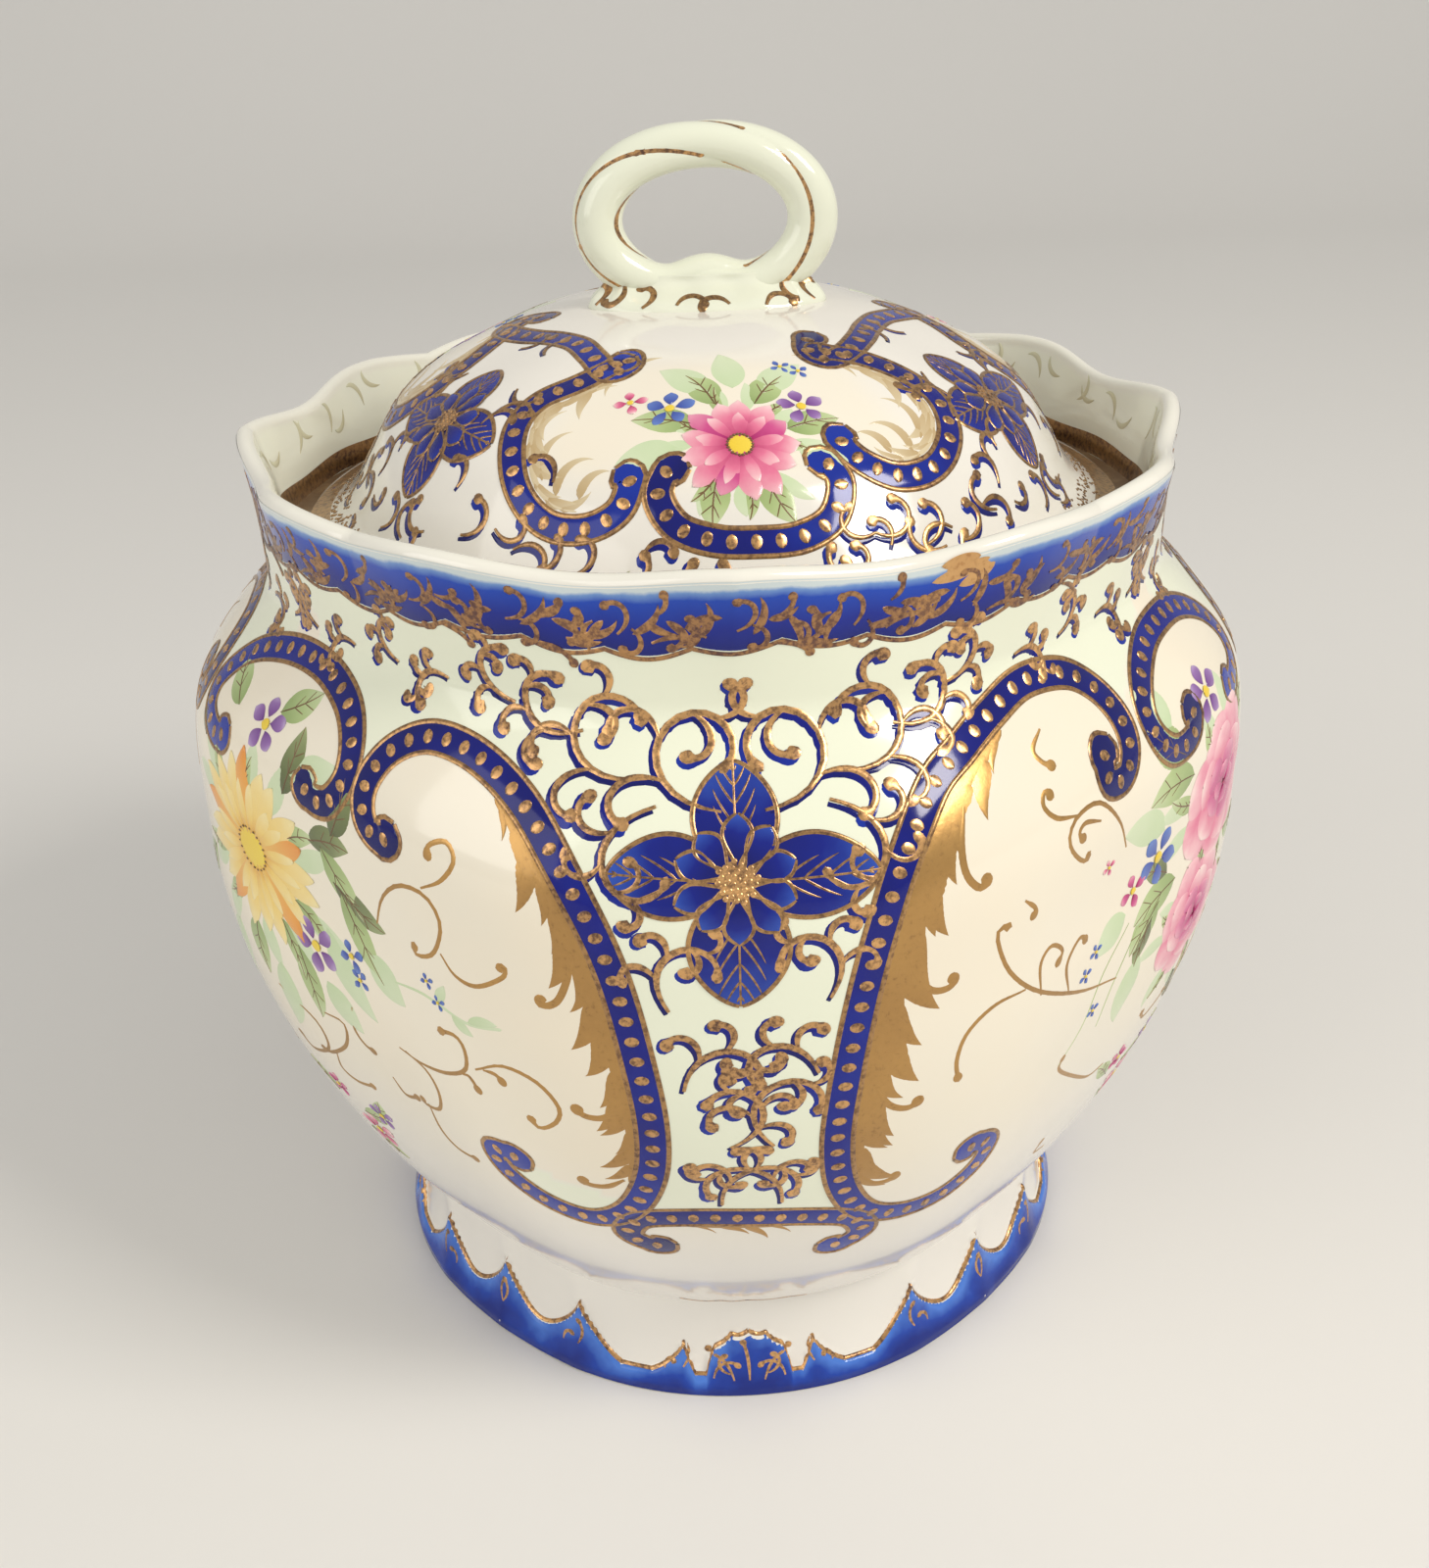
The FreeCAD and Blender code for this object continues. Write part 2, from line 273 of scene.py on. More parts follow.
def clay_glaze(name, ground=WHITE_CLAY, wash=CELADON):
    """Glazed clay whose celadon and cream shares come from the mesh."""
    material, tree, shader = new_material(name, 0.12)
    cloud = noise(tree, 34.0, 4.0)
    pale = blend_colours(tree, cloud, ground, tuple(0.95 * part for part in ground))
    green = blend_colours(tree, cloud, wash, tuple(min(1.0, 1.07 * part) for part in wash))
    warm = blend_colours(tree, cloud, CREAM, (0.86, 0.82, 0.70))
    colour = blend_colours(tree, mark_value(tree, "cream"), pale, warm)
    colour = blend_colours(tree, mark_value(tree, "celadon"), colour, green)
    tree.links.new(colour, shader.inputs["Base Color"])
    ripple(tree, shader)
    return material


body_glaze = clay_glaze("body_glaze")
plain_glaze = clay_glaze("plain_glaze")

# %% [markdown]
# ## The painted bands, as outlines
# Long cobalt bands curl round each cream panel. Their middle lines are drawn by a few
# points of turn and height, joined by a smooth curve, as a painter pounces an outline
# on the clay before filling it. The same outlines tell the glaze where it is celadon.

# %% Smooth curves through a few points
def through(points, steps=12):
    """A Catmull-Rom curve: each stretch leaves and meets its points along their neighbours."""
    held = np.asarray(points, float)
    held = np.vstack([2.0 * held[0] - held[1], held, 2.0 * held[-1] - held[-2]])
    share = np.linspace(0.0, 1.0, steps, endpoint=False)[None, :, None]
    before, first, last, after = (held[k:len(held) - 3 + k, None, :] for k in range(4))
    curve = 0.5 * (2.0 * first + (last - before) * share
                   + (2.0 * before - 5.0 * first + 4.0 * last - after) * share ** 2
                   + (3.0 * first - before - 3.0 * last + after) * share ** 3)
    return np.vstack([curve.reshape(-1, held.shape[1]), held[-2:-1]])


# %% Middle lines of the bands, as turn and height
LEFT_BAND = [(-34.6, 106), (-36.2, 103.2), (-38.6, 104.8), (-39.4, 109), (-37.6, 113.2), (-33.5, 115.6),
             (-28, 115.4), (-22.7, 113.2), (-18.6, 109.4), (-14.8, 102.5), (-12.1, 94), (-10.2, 82),
             (-9.2, 70), (-9.8, 60), (-12.4, 52), (-16.6, 48.2), (-22, 49.2), (-26.6, 53.2),
             (-27.6, 57.2), (-25.2, 58), (-23, 56)]
RIGHT_BAND = [(41.2, 110.4), (39.4, 108.2), (39.6, 105.2), (42.2, 104.8), (44, 108), (44.2, 112),
              (42.6, 115.6), (39.2, 118), (33.2, 118.8), (27.6, 117.2), (22.4, 114.8), (17.8, 111.8),
              (13.8, 105.2), (11.4, 96.8), (9.6, 86), (8.4, 75), (8, 65), (9, 56), (11.8, 49.2),
              (16.4, 46.2), (21.6, 46.4), (25.6, 49.6), (26.8, 53.6), (24.8, 55.8), (21.8, 54.6)]
LEFT_ARCH = [(-49.4, 107.6), (-47.6, 104.6), (-44.6, 104.8), (-42.6, 108.6), (-43.4, 112.6), (-47, 116),
             (-53.6, 118.2), (-61, 118), (-68, 115.4), (-71.6, 110.6), (-70.6, 106.4), (-66.6, 104.6),
             (-64, 107.2)]
RIGHT_ARCH = [(55.2, 108.5), (57, 106.2), (55.6, 103.8), (52, 103.6), (49.2, 106.6), (48.8, 110.6),
              (51.8, 114.2), (57.6, 116.8), (65.5, 117), (71.5, 114.5), (74, 110.5), (72.6, 106.4),
              (68.6, 104.8), (66.4, 107.2)]
BRACKET = [(-8.2, 43.6), (-11.2, 42.8), (-13.4, 45.4), (-11.6, 49.4), (-6, 50.8), (0, 50.6), (6, 49.6),
           (10.8, 47.4), (12.4, 43.4), (10.2, 40.6), (7.4, 41.6)]
BANDS = [through(line) for line in (LEFT_BAND, RIGHT_BAND, BRACKET)]
ARCHES = [through(line) for line in (LEFT_ARCH, RIGHT_ARCH)]


# %% Where the glaze is celadon
def inside(polygon, turn, height):
    """Even-odd rule: a point is inside when an odd number of sides lie to its right."""
    ax, ay = polygon[:, 0], polygon[:, 1]
    bx, by = np.roll(ax, -1), np.roll(ay, -1)
    crossings = np.zeros(np.shape(turn), int)
    for x0, y0, x1, y1 in zip(ax, ay, bx, by):
        spans = (y0 > height) != (y1 > height)
        at = x0 + (height - y0) * (x1 - x0) / (y1 - y0 if y1 != y0 else 1.0)
        crossings += spans & (turn < at)
    return crossings % 2 == 1


# The field's outline: up the left band, over the arches, and down the right band.
LEFT_SIDE, RIGHT_SIDE = slice(40, 220), slice(84, 231)
OVER_LEFT_ARCH = [(-43.0, 112.0), (-47.0, 116.0), (-56.0, 118.2), (-60.0, 141.0)]
OVER_RIGHT_ARCH = [(60.0, 141.0), (58.0, 118.9), (51.0, 116.0), (46.5, 112.5)]
field = np.vstack([BANDS[0][LEFT_SIDE][::-1], OVER_LEFT_ARCH, OVER_RIGHT_ARCH, BANDS[1][RIGHT_SIDE]])


def field_share(turn, height):
    """1 in the celadon scroll field of the nearest third of the jar, else 0."""
    off = (np.asarray(turn) + 60.0) % 120.0 - 60.0
    held = np.clip(height, 0.0, 139.0)
    side = inside(field, off, held) | inside(field, off + 120.0, held) | inside(field, off - 120.0, held)
    return side.astype(float)


print("celadon at the front's middle:", field_share(np.array([0.0]), np.array([80.0])))

# %% [markdown]
# ## The clay pieces
# The pot is one closed skin: up its outside, over the waved rim and down its inside to
# the floor. It takes the place of the frame's bowl and collar. Its rows lie close
# together, so that the gloss runs smoothly over the lobes and the waves.

# %% Closed skins of turned rows
TURNS = np.arange(480) * 0.75


def skin(name, rows, marks=None, closed=False):
    """A piece from rows of points round the jar; end rows are closed by fans of triangles."""
    rows = np.asarray(rows)
    count, columns = rows.shape[:2]
    faces = grid_faces(count, columns, wrap_rows=closed, wrap_columns=True)
    if closed:
        return make_piece(name, rows, faces, marks)
    column = np.arange(columns)
    after = (column + 1) % columns
    low = np.stack([np.full(columns, count * columns), after, column], -1)
    last = (count - 1) * columns
    high = np.stack([np.full(columns, count * columns + 1), last + column, last + after], -1)
    points = np.vstack([rows.reshape(-1, 3), rows[0].mean(0), rows[-1].mean(0)])
    if marks:
        marks = {key: np.append(np.ravel(value), [0.0, 0.0]) for key, value in marks.items()}
    return make_piece(name, points, (faces, np.vstack([low, high])), marks)


def wall_rows(heights, insets):
    """Rows of the wall at each pair of height and inset."""
    return wall(TURNS[None, :], np.asarray(heights, float)[:, None], np.asarray(insets, float)[:, None])


# %% The pot: one skin from the foot up, over the rim and down to the floor
low_rows = FOOT_HEIGHT + (BELLY_HEIGHT - FOOT_HEIGHT) * np.linspace(0.0, 1.0, 60) ** 1.4
high_rows = np.linspace(BELLY_HEIGHT, NECK_HEIGHT, 44)[1:]
edge_top = NECK_HEIGHT + COLLAR - 0.5 * RIM_THICK
collar_rows = np.linspace(NECK_HEIGHT, edge_top, 22)[1:-1]
FLOOR_TURN, EDGE_STEPS = 30.0, 11
down_rows = np.concatenate([
    collar_rows[::-2], np.linspace(NECK_HEIGHT, FLOOR_TURN, 24),
    FLOOR_TURN - (FLOOR_TURN - FLOOR_TOP) * np.linspace(0.0, 1.0, 8)[1:] ** 0.5])
down_insets = np.interp(down_rows, [NECK_HEIGHT, edge_top], [WALL, RIM_THICK])
down_insets[-4:] += [0.4, 1.2, 2.6, 5.0]
outside = np.concatenate([low_rows, high_rows, collar_rows])
edge_turn = np.linspace(0.0, math.pi, EDGE_STEPS)
edge_heights = np.full(EDGE_STEPS, edge_top)
edge_rows = wall_rows(edge_heights, 0.5 * RIM_THICK * (1.0 - np.cos(edge_turn)))
edge_rows[..., 2] += (0.5 * RIM_THICK * np.sin(edge_turn))[:, None]
rows = np.vstack([wall_rows(outside, np.zeros(len(outside))), edge_rows, wall_rows(down_rows, down_insets)])
heights = np.concatenate([outside, edge_heights, down_rows])
out_share = np.repeat([1.0, 0.0, 0.0], [len(outside), EDGE_STEPS, len(down_rows)])[:, None]
turn_grid, height_grid = np.broadcast_arrays(TURNS[None, :], heights[:, None])
celadon = field_share(turn_grid, height_grid) * out_share
cream = (1.0 - celadon) * out_share * smooth((height_grid - 34.0) / 30.0) * 0.85
in_collar = (1.0 - out_share) * smooth((height_grid - 112.0) / 8.0)
inner_wash = np.concatenate([np.zeros(len(outside)), np.linspace(0.1, 0.45, EDGE_STEPS),
                             np.full(len(down_rows), 0.7)])
celadon = celadon + in_collar * inner_wash[:, None]
pot = skin("glazed_pot", rows, {"celadon": celadon, "cream": cream})
finish_piece(pot, "jar", body_glaze)
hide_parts("jar_bowl")
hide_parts("scalloped_collar")
print("pot faces", len(pot.data.polygons))

# %% [markdown]
# ## The foot
# The foot was pressed with a relief: white coves hang between pointed ribs, over a
# thicker cobalt edge with a shell in the middle of each lobe. The relief is a height
# added to the ring's side. It is the same outline that the cobalt paint follows.

# %% The foot's relief
RIB_TURNS = (10.4, 28.4, 45.0)
RIB_TOPS = (7.0, 9.0, 12.6, 13.0)
RIB_WIDTH, SHELL_REACH = 2.6, 6.8
FOOT_WALL = 5.2


def blue_edge(turn):
    """The top of the cobalt edge: a shell's round head, then valleys between sharp ribs."""
    off = from_lobe(turn)
    dome = np.clip(1.0 - (off / SHELL_REACH) ** 2, 0.0, 1.0) ** 0.3
    shell = 11.6 * dome - 0.7 * np.abs(np.sin(1.15 * off))
    places = (0.0, *RIB_TURNS)
    valleys = np.zeros_like(off)
    for first, last, low_top, high_top in zip(places, places[1:], RIB_TOPS, RIB_TOPS[1:]):
        share = np.clip((off - first) / (last - first), 0.0, 1.0)
        arc = mix(low_top, high_top, share) - 7.6 * np.sin(math.pi * share) ** 0.7
        valleys = np.where((off >= first) & (off <= last), arc, valleys)
    return np.maximum(np.maximum(valleys, np.where(off < SHELL_REACH, shell, 0.0)), 3.6)


def foot(turn, height, inset=0.0):
    """The foot's side: drawn in by a cove, stepped out below the cobalt's top line."""
    turn, height = np.broadcast_arrays(np.asarray(turn, float), np.asarray(height, float))
    share = np.clip(height / FOOT_HEIGHT, 0.0, 1.0)
    radius = mix(FOOT_RADIUS, WAIST_RADIUS, share) - 1.6 * np.sin(math.pi * share ** 0.8)
    radius = radius - mix(1.2, 2.6, share) * groove_share(turn) - inset
    relief = smooth((blue_edge(turn) + 0.6 - height) / 1.2) * smooth(height / 2.0)
    rib = sum(np.exp(-((from_lobe(turn) - place) / RIB_WIDTH) ** 2) for place in RIB_TURNS[1:])
    radius = radius - 0.5 + 0.8 * relief + 0.5 * rib * np.sin(math.pi * share) ** 0.5
    return polar(turn, radius, height)


rise = np.linspace(0.0, FOOT_HEIGHT, 74)
below = np.clip(1.0 - rise / 0.8, 0.0, 1.0)
soft = 0.8 * (1.0 - np.sqrt(1.0 - below ** 2))
foot_out = foot(TURNS[None, :], rise[:, None], soft[:, None])
inner = FOOT_HEIGHT - rise[::6]
foot_in = foot(TURNS[None, :], np.full((len(inner), 1), FOOT_HEIGHT), FOOT_WALL)
foot_in[..., 2] = inner[:, None]
foot_sides = np.vstack([foot_out, foot_in])
bare = np.zeros(foot_sides.shape[:2])
foot_piece = skin("glazed_foot", foot_sides, {"celadon": bare, "cream": bare}, closed=True)
finish_piece(foot_piece, "jar", plain_glaze)
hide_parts("foot_ring")
print("foot faces", len(foot_piece.data.polygons))

# %% [markdown]
# ## The lid
# The lid is a dome with a flat edge, thrown round and then pressed very faintly into
# eight lobes. Its outline is a smooth curve through a few radii and heights. The ring
# under it and the ledge that it sits on are plain, so the frame's own solids stay.

# %% The lid's outline
LID_UNDER, LID_TOP, LID_RADIUS = 126.1, 156.3, 59.8
HOLLOW_RADIUS, HOLLOW_HEIGHT, PRESS = 51.0, 26.6, 0.35
LID_LINE = np.array([(0.0, 156.3), (8.4, 156.25), (16.8, 155.9), (25.5, 154.3), (33.6, 151.33),
                     (40.6, 147.64), (45.8, 143.09), (49.7, 137.13), (53.4, 131.3),
                     (57.6, 128.4), (LID_RADIUS, 127.9)])
LID_CURVE = through(LID_LINE, 24)


def lid(turn, radius):
    """A point of the lid's outside by turn and radius, with eight lobes as deep as PRESS."""
    turn, radius = np.broadcast_arrays(np.asarray(turn, float), np.asarray(radius, float))
    height = np.interp(radius, LID_CURVE[:, 0], LID_CURVE[:, 1])
    fade = smooth((radius - 18.0) / 20.0) * smooth((58.0 - radius) / 8.0)
    press = PRESS * np.cos(np.radians(8.0 * turn)) * fade
    return polar(turn, radius, height - PRESS + press)


# %% The lid's skin
lid_radii = np.concatenate([np.linspace(0.6, 59.4, 120), [LID_RADIUS]])
out_rows = lid(TURNS[None, :], lid_radii[::-1, None])
under_radii, under_heights = np.array([[LID_RADIUS], [59.5], [50.7]]), np.array([[126.5], [126.15], [126.15]])
under = polar(TURNS[None, :], under_radii, under_heights)
hollow = np.linspace(50.5, 0.6, 30)[:, None]
inside_rows = polar(TURNS[None, :], hollow,
                    LID_UNDER + HOLLOW_HEIGHT * np.sqrt(1.0 - (hollow / HOLLOW_RADIUS) ** 2))
rows = np.vstack([inside_rows[::-1], under[::-1], out_rows])
reach = np.hypot(rows[..., 0], rows[..., 1])
aside = np.abs((TURNS[None, :] + 60.0) % 120.0 - 60.0)
warm = smooth((40.0 - aside) / 12.0) * smooth((reach - 24.0) / 6.0) * smooth((48.0 - reach) / 5.0)
lid_piece = skin("glazed_lid", rows, {"celadon": 0.0 * reach, "cream": 0.7 * warm})
finish_piece(lid_piece, "lid", body_glaze)
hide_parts("lid_dome")
print("lid faces", len(lid_piece.data.polygons))

# %% [markdown]
# ## The loop
# The loop was modelled by hand as a twisted stem of leaves bent round on itself. A ring
# is carried along an oval path. Its round section gets a few shallow flutes that turn
# as they go, which is what makes a rope, and the flutes are the lines that were gilded.

# %% The loop's path and section
LOOP_HALF_WIDTH, LOOP_HEIGHT = 15.2, 20.7


def loop_path(angle):
    """An oval with its foot pushed up into a bump, as x and z; angle 0 is the top."""
    across = LOOP_HALF_WIDTH * np.sin(angle)
    up = 0.5 * (LOOP_HEIGHT - 0.4) * np.cos(angle)
    bump = np.where(up < 0.0, 2.2 * np.exp(-((across / 4.2) ** 2)), 0.0)
    return across, LID_TOP + 0.5 * (LOOP_HEIGHT + 1.9) - 0.5 + up + bump


def loop_skin(angle, about):
    """A point of the loop: its path plus a fluted radius, at an angle about the path."""
    across, up = loop_path(angle)
    ahead = np.stack(loop_path(angle + 0.01)) - np.stack(loop_path(angle - 0.01))
    ahead = ahead / np.hypot(*ahead)
    radius = 0.5 * mix(6.4, 7.2, np.sin(angle) ** 2)
    twist = about * 3.0 + np.sin(angle) * 5.0
    flute = 0.5 * (np.abs(np.sin(0.5 * twist)) ** 0.7 - 0.8)
    out = radius + flute - 0.05
    side_x, side_z = -ahead[1], ahead[0]
    return np.stack([across + out * np.cos(about) * side_x, out * np.sin(about),
                     up + out * np.cos(about) * side_z], -1)


LOOP_STEPS, RING_STEPS = 320, 72
loop_angle = np.linspace(0.0, 2.0 * math.pi, LOOP_STEPS, endpoint=False)
ring_angle = np.linspace(0.0, 2.0 * math.pi, RING_STEPS, endpoint=False)
rows = loop_skin(loop_angle[:, None], ring_angle[None, :])
loop_faces = grid_faces(LOOP_STEPS, RING_STEPS, True, True)
nothing = np.zeros(rows.shape[:2])
loop_glaze = clay_glaze("loop_glaze", (0.80, 0.81, 0.69), (0.76, 0.80, 0.64))
loop_piece = make_piece("twisted_loop", rows, loop_faces, {"celadon": nothing + 0.5, "cream": nothing})
finish_piece(loop_piece, "lid", loop_glaze)
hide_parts("loop_handle")


# %% The flared pad under the loop
def pad(turn, share):
    """An oval skirt: wide on the dome, narrow under the loop, with leaf flutes round it."""
    sweep = smooth(1.0 - share)
    flute = 0.35 * np.cos(np.radians(turn) * 14.0) * np.sin(math.pi * share)
    long, wide = mix(14.4, 17.2, sweep ** 1.6) + flute, mix(3.3, 8.2, sweep ** 1.6) + flute
    height = LID_TOP - 0.9 + 4.6 * share ** 0.8
    return np.stack([long * np.sin(np.radians(turn)), -wide * np.cos(np.radians(turn)),
                     height + 0.0 * long], -1)


pad_rows = pad(TURNS[None, ::2], np.linspace(0.0, 1.0, 26)[:, None])
nothing = np.zeros(pad_rows.shape[:2])
pad_piece = skin("flared_pad", pad_rows, {"celadon": nothing + 0.35, "cream": nothing})
finish_piece(pad_piece, "lid", loop_glaze)
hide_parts("handle_pad")

# %% The frame's own plain solids
seat_gilt, tree, shader = new_material("worn_seat_gilding", 0.34, 0.15)
worn = noise(tree, 160.0, 5.0, 0.7)
tree.links.new(ramp(tree, worn, [(0.32, (0.24, 0.17, 0.09)), (0.5, (0.17, 0.10, 0.05)),
                                 (0.7, (0.32, 0.22, 0.11))]), shader.inputs["Base Color"])
ripple(tree, shader)
ring_glaze, tree, shader = new_material("clear_ring_glaze", 0.14)
tree.links.new(ramp(tree, noise(tree, 60.0), [(0.3, WHITE_CLAY), (0.7, (0.84, 0.83, 0.78))]),
               shader.inputs["Base Color"])
ripple(tree, shader)
for node, material in (("lid_seat", seat_gilt), ("lid_locating_ring", ring_glaze)):
    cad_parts[node].data.materials.clear()
    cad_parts[node].data.materials.append(material)

# %% [markdown]
# ## Painting on a curved surface
# A brush stroke is a ribbon that lies on the glaze. Its middle line is given in the
# surface's own two numbers, and its width in real millimetres, so each point is moved
# sideways by its width over the local scale of those numbers. The ribbon's edges lie
# close to the glaze and its middle stands proud, as raised enamel and gilding do.

# %% Surfaces that can be painted
REACH_FROM = 60.0


def lid_face(turn, reach):
    """The lid by turn and by how far a place lies in from a radius of 60."""
    return lid(turn, REACH_FROM - reach)


def on_surface(surface, turn, up, lift):
    """The surface's point, moved out along its normal by lift."""
    place = surface(turn, up)
    side, rise = surface(turn + 0.05, up) - place, surface(turn, up + 0.05) - place
    normal = np.cross(side, rise)
    normal /= np.linalg.norm(normal, axis=-1, keepdims=True)
    return place + normal * np.asarray(lift)[..., None]


def scales(surface, turn, up):
    """Millimetres along the surface for one degree and for one step up."""
    place = surface(turn, up)
    side = np.linalg.norm(surface(turn + 0.05, up) - place, axis=-1) / 0.05
    rise = np.linalg.norm(surface(turn, up + 0.05) - place, axis=-1) / 0.05
    return side, rise


def headings(surface, turn, up):
    """The unit direction of a line at each of its points, in millimetres."""
    across, rise = scales(surface, turn, up)
    run, climb = np.gradient(turn, axis=1) * across, np.gradient(up, axis=1) * rise
    length = np.hypot(run, climb) + 1e-9
    return run / length, climb / length, across, rise


def beside(surface, turn, up, offset):
    """The same lines moved to their left by an offset in millimetres."""
    run, climb, across, rise = headings(surface, turn, up)
    return turn - climb * offset / across, up + run * offset / rise


def ribbons(surface, turn, up, half, lift=0.03, crown=0.10, sides=4):
    """Strokes as ribbons: middle lines in rows, their half widths, and a raised crown.

    The crown follows the root of one less the square of the share of the half width.
    """
    run, climb, across, rise = headings(surface, turn, up)
    span = np.linspace(1.0, -1.0, sides)
    wide = np.asarray(half)[..., None] * span
    turns = turn[..., None] - (climb / across)[..., None] * wide
    ups = up[..., None] + (run / rise)[..., None] * wide
    proud = lift - 0.05 + crown * np.sqrt(1.0 - 0.96 * span ** 2)
    points = on_surface(surface, turns, ups, proud + 0.0 * wide)
    count, steps = turn.shape
    cells = grid_faces(steps, sides)
    faces = (cells[None] + (np.arange(count) * steps * sides)[:, None, None]).reshape(-1, 4)
    along = np.broadcast_to(np.linspace(0.0, 1.0, steps)[None, :, None], (count, steps, sides))
    return points.reshape(-1, 3), faces, along.ravel()


def gather(name, strokes, material, body="jar"):
    """One piece from many lots of ribbons."""
    starts = np.cumsum([0] + [len(lot[0]) for lot in strokes[:-1]])
    points = np.vstack([lot[0] for lot in strokes])
    faces = np.vstack([lot[1] + start for lot, start in zip(strokes, starts)])
    along = np.concatenate([lot[2] for lot in strokes])
    finish_piece(make_piece(name, points, faces, {"along": along}), body, material)
    print(name, "triangles", 2 * len(faces))


# %% Strokes that curl
def curls(surface, rows, steps=20):
    """Middle lines of curls: each starts at a place, heads some way, and bends more and more.

    A row holds the place, the heading in degrees, the length and the whole bend. The
    heading grows with the power 1.5 of the share of the length gone, and the places
    are the running sums of the steps taken that way.
    """
    rows = np.asarray(rows, float)
    gone = 1.0 - (1.0 - np.linspace(0.0, 1.0, steps)) ** 1.35
    angle = np.radians(rows[:, 2:3] + rows[:, 4:5] * gone[None, :] ** 1.5)
    pace = np.diff(gone) * rows[:, 3:4]
    middle = 0.5 * (angle[:, 1:] + angle[:, :-1])
    run, climb = np.cos(middle) * pace, np.sin(middle) * pace
    turn = np.repeat(rows[:, 0:1], steps, 1)
    up = np.repeat(rows[:, 1:2], steps, 1)
    for _ in range(3):
        across, rise = scales(surface, turn, up)
        turn = rows[:, 0:1] + np.pad(np.cumsum(run / across[:, :-1], 1), ((0, 0), (1, 0)))
        up = rows[:, 1:2] + np.pad(np.cumsum(climb / rise[:, :-1], 1), ((0, 0), (1, 0)))
    return turn, up, gone, rows[:, 3:4]


def curl_halves(gone, length, stem, bulb):
    """Half widths of a curl: thin at its start, a full stem, then a round bulb."""
    stem_half = stem * (0.5 + 0.5 * smooth(gone[None, :] * 2.5))
    bulb = np.minimum(bulb, 0.3 * length)
    past = (gone[None, :] * length - (length - bulb)) / bulb
    round_end = bulb * np.sqrt(np.clip(1.0 - past ** 2, 0.0, 1.0))
    return np.where(past > 0.0, round_end, np.maximum(stem_half * np.ones_like(length), round_end))


def curl_strokes(surface, rows, stem, bulb, **how):
    """Ribbons for a list of curls."""
    turn, up, gone, length = curls(surface, rows)
    return ribbons(surface, turn, up, curl_halves(gone, length, stem, bulb), **how)


def repeated(rows, turns, flip=False):
    """Copies of curls turned round the jar; flip gives their mirror images."""
    rows = np.asarray(rows, float)
    if flip:
        rows = rows * np.array([-1.0, 1.0, -1.0, 1.0, -1.0]) + np.array([0.0, 0.0, 180.0, 0.0, 0.0])
    return np.vstack([rows + np.array([turn, 0.0, 0.0, 0.0, 0.0]) for turn in turns])


# %% [markdown]
# ## Gold, cobalt and enamels
# The gilding is real metal, fired on and then worn: a gold shader whose colour breaks
# into brown where it is thin. Cobalt is a deep blue under the glaze, paler where the
# brush ran out. Enamels are soft colours that run from a dark root to a light tip.

# %% Paint materials
def gold(name, bright, dark, wear=0.5, shine=0.30):
    """Worn gilding: bright metal, and brown flecks where noise passes the wear."""
    material, tree, shader = new_material(name, shine, 0.85, 0.2)
    flecks = noise(tree, 1300.0, 4.0, 0.65)
    clouds = noise(tree, 70.0, 3.0)
    brightest = tuple(1.1 * part for part in bright)
    colour = ramp(tree, flecks, [(wear - 0.14, dark), (wear + 0.02, bright), (0.8, brightest)])
    colour = blend_colours(tree, 0.35, colour, ramp(tree, clouds, [(0.35, dark), (0.65, bright)]))
    tree.links.new(colour, shader.inputs["Base Color"])
    bump = add(tree, "ShaderNodeBump", Strength=0.5, Distance=0.00005)
    tree.links.new(flecks, bump.inputs["Height"])
    tree.links.new(bump.outputs["Normal"], shader.inputs["Normal"])
    return material


def enamel(name, stops, rough=0.16, spread=0.35, scale=260.0):
    """A colour that runs along each stroke, with brushed streaks and a gloss."""
    material, tree, shader = new_material(name, rough, coat=0.1)
    shader.inputs["Specular IOR Level"].default_value = 0.32
    offset = tree.nodes.new("ShaderNodeMath")
    offset.operation = "SUBTRACT"
    tree.links.new(mark_value(tree, "along"), offset.inputs[0])
    offset.inputs[1].default_value = 0.5 * spread
    streaked = scaled_sum(tree, noise(tree, scale, 3.0), spread, offset.outputs[0])
    tree.links.new(ramp(tree, streaked, stops), shader.inputs["Base Color"])
    ripple(tree, shader, 300.0, 0.00004)
    return material


raised_gold = gold("raised_gold", (0.74, 0.42, 0.17), (0.13, 0.07, 0.05), 0.53)
line_gold = gold("line_gold", (0.52, 0.30, 0.12), (0.15, 0.08, 0.05), 0.53)
soft_gold = gold("soft_gold", (0.52, 0.30, 0.10), (0.30, 0.16, 0.06), 0.4, 0.36)
cobalt = enamel("cobalt_blue", [(0.0, (0.002, 0.004, 0.11)), (0.5, (0.003, 0.008, 0.21)),
                                (1.0, (0.006, 0.03, 0.34))], 0.10, 0.9, 120.0)
cobalt_petal = enamel("cobalt_petal", [(0.0, (0.003, 0.005, 0.12)), (0.5, (0.004, 0.012, 0.22)),
                                       (1.0, (0.03, 0.09, 0.46))], 0.10, 0.5, 200.0)

# %% [markdown]
# ## Cobalt bands with beaded gilding
# Each band is a wide cobalt stroke with round ends, a raised gold line along both of
# its edges and a row of gold drops down its middle, put on with the tip of the brush.

# %% Bands, their edges and their beads
BAND_HALF = 1.95


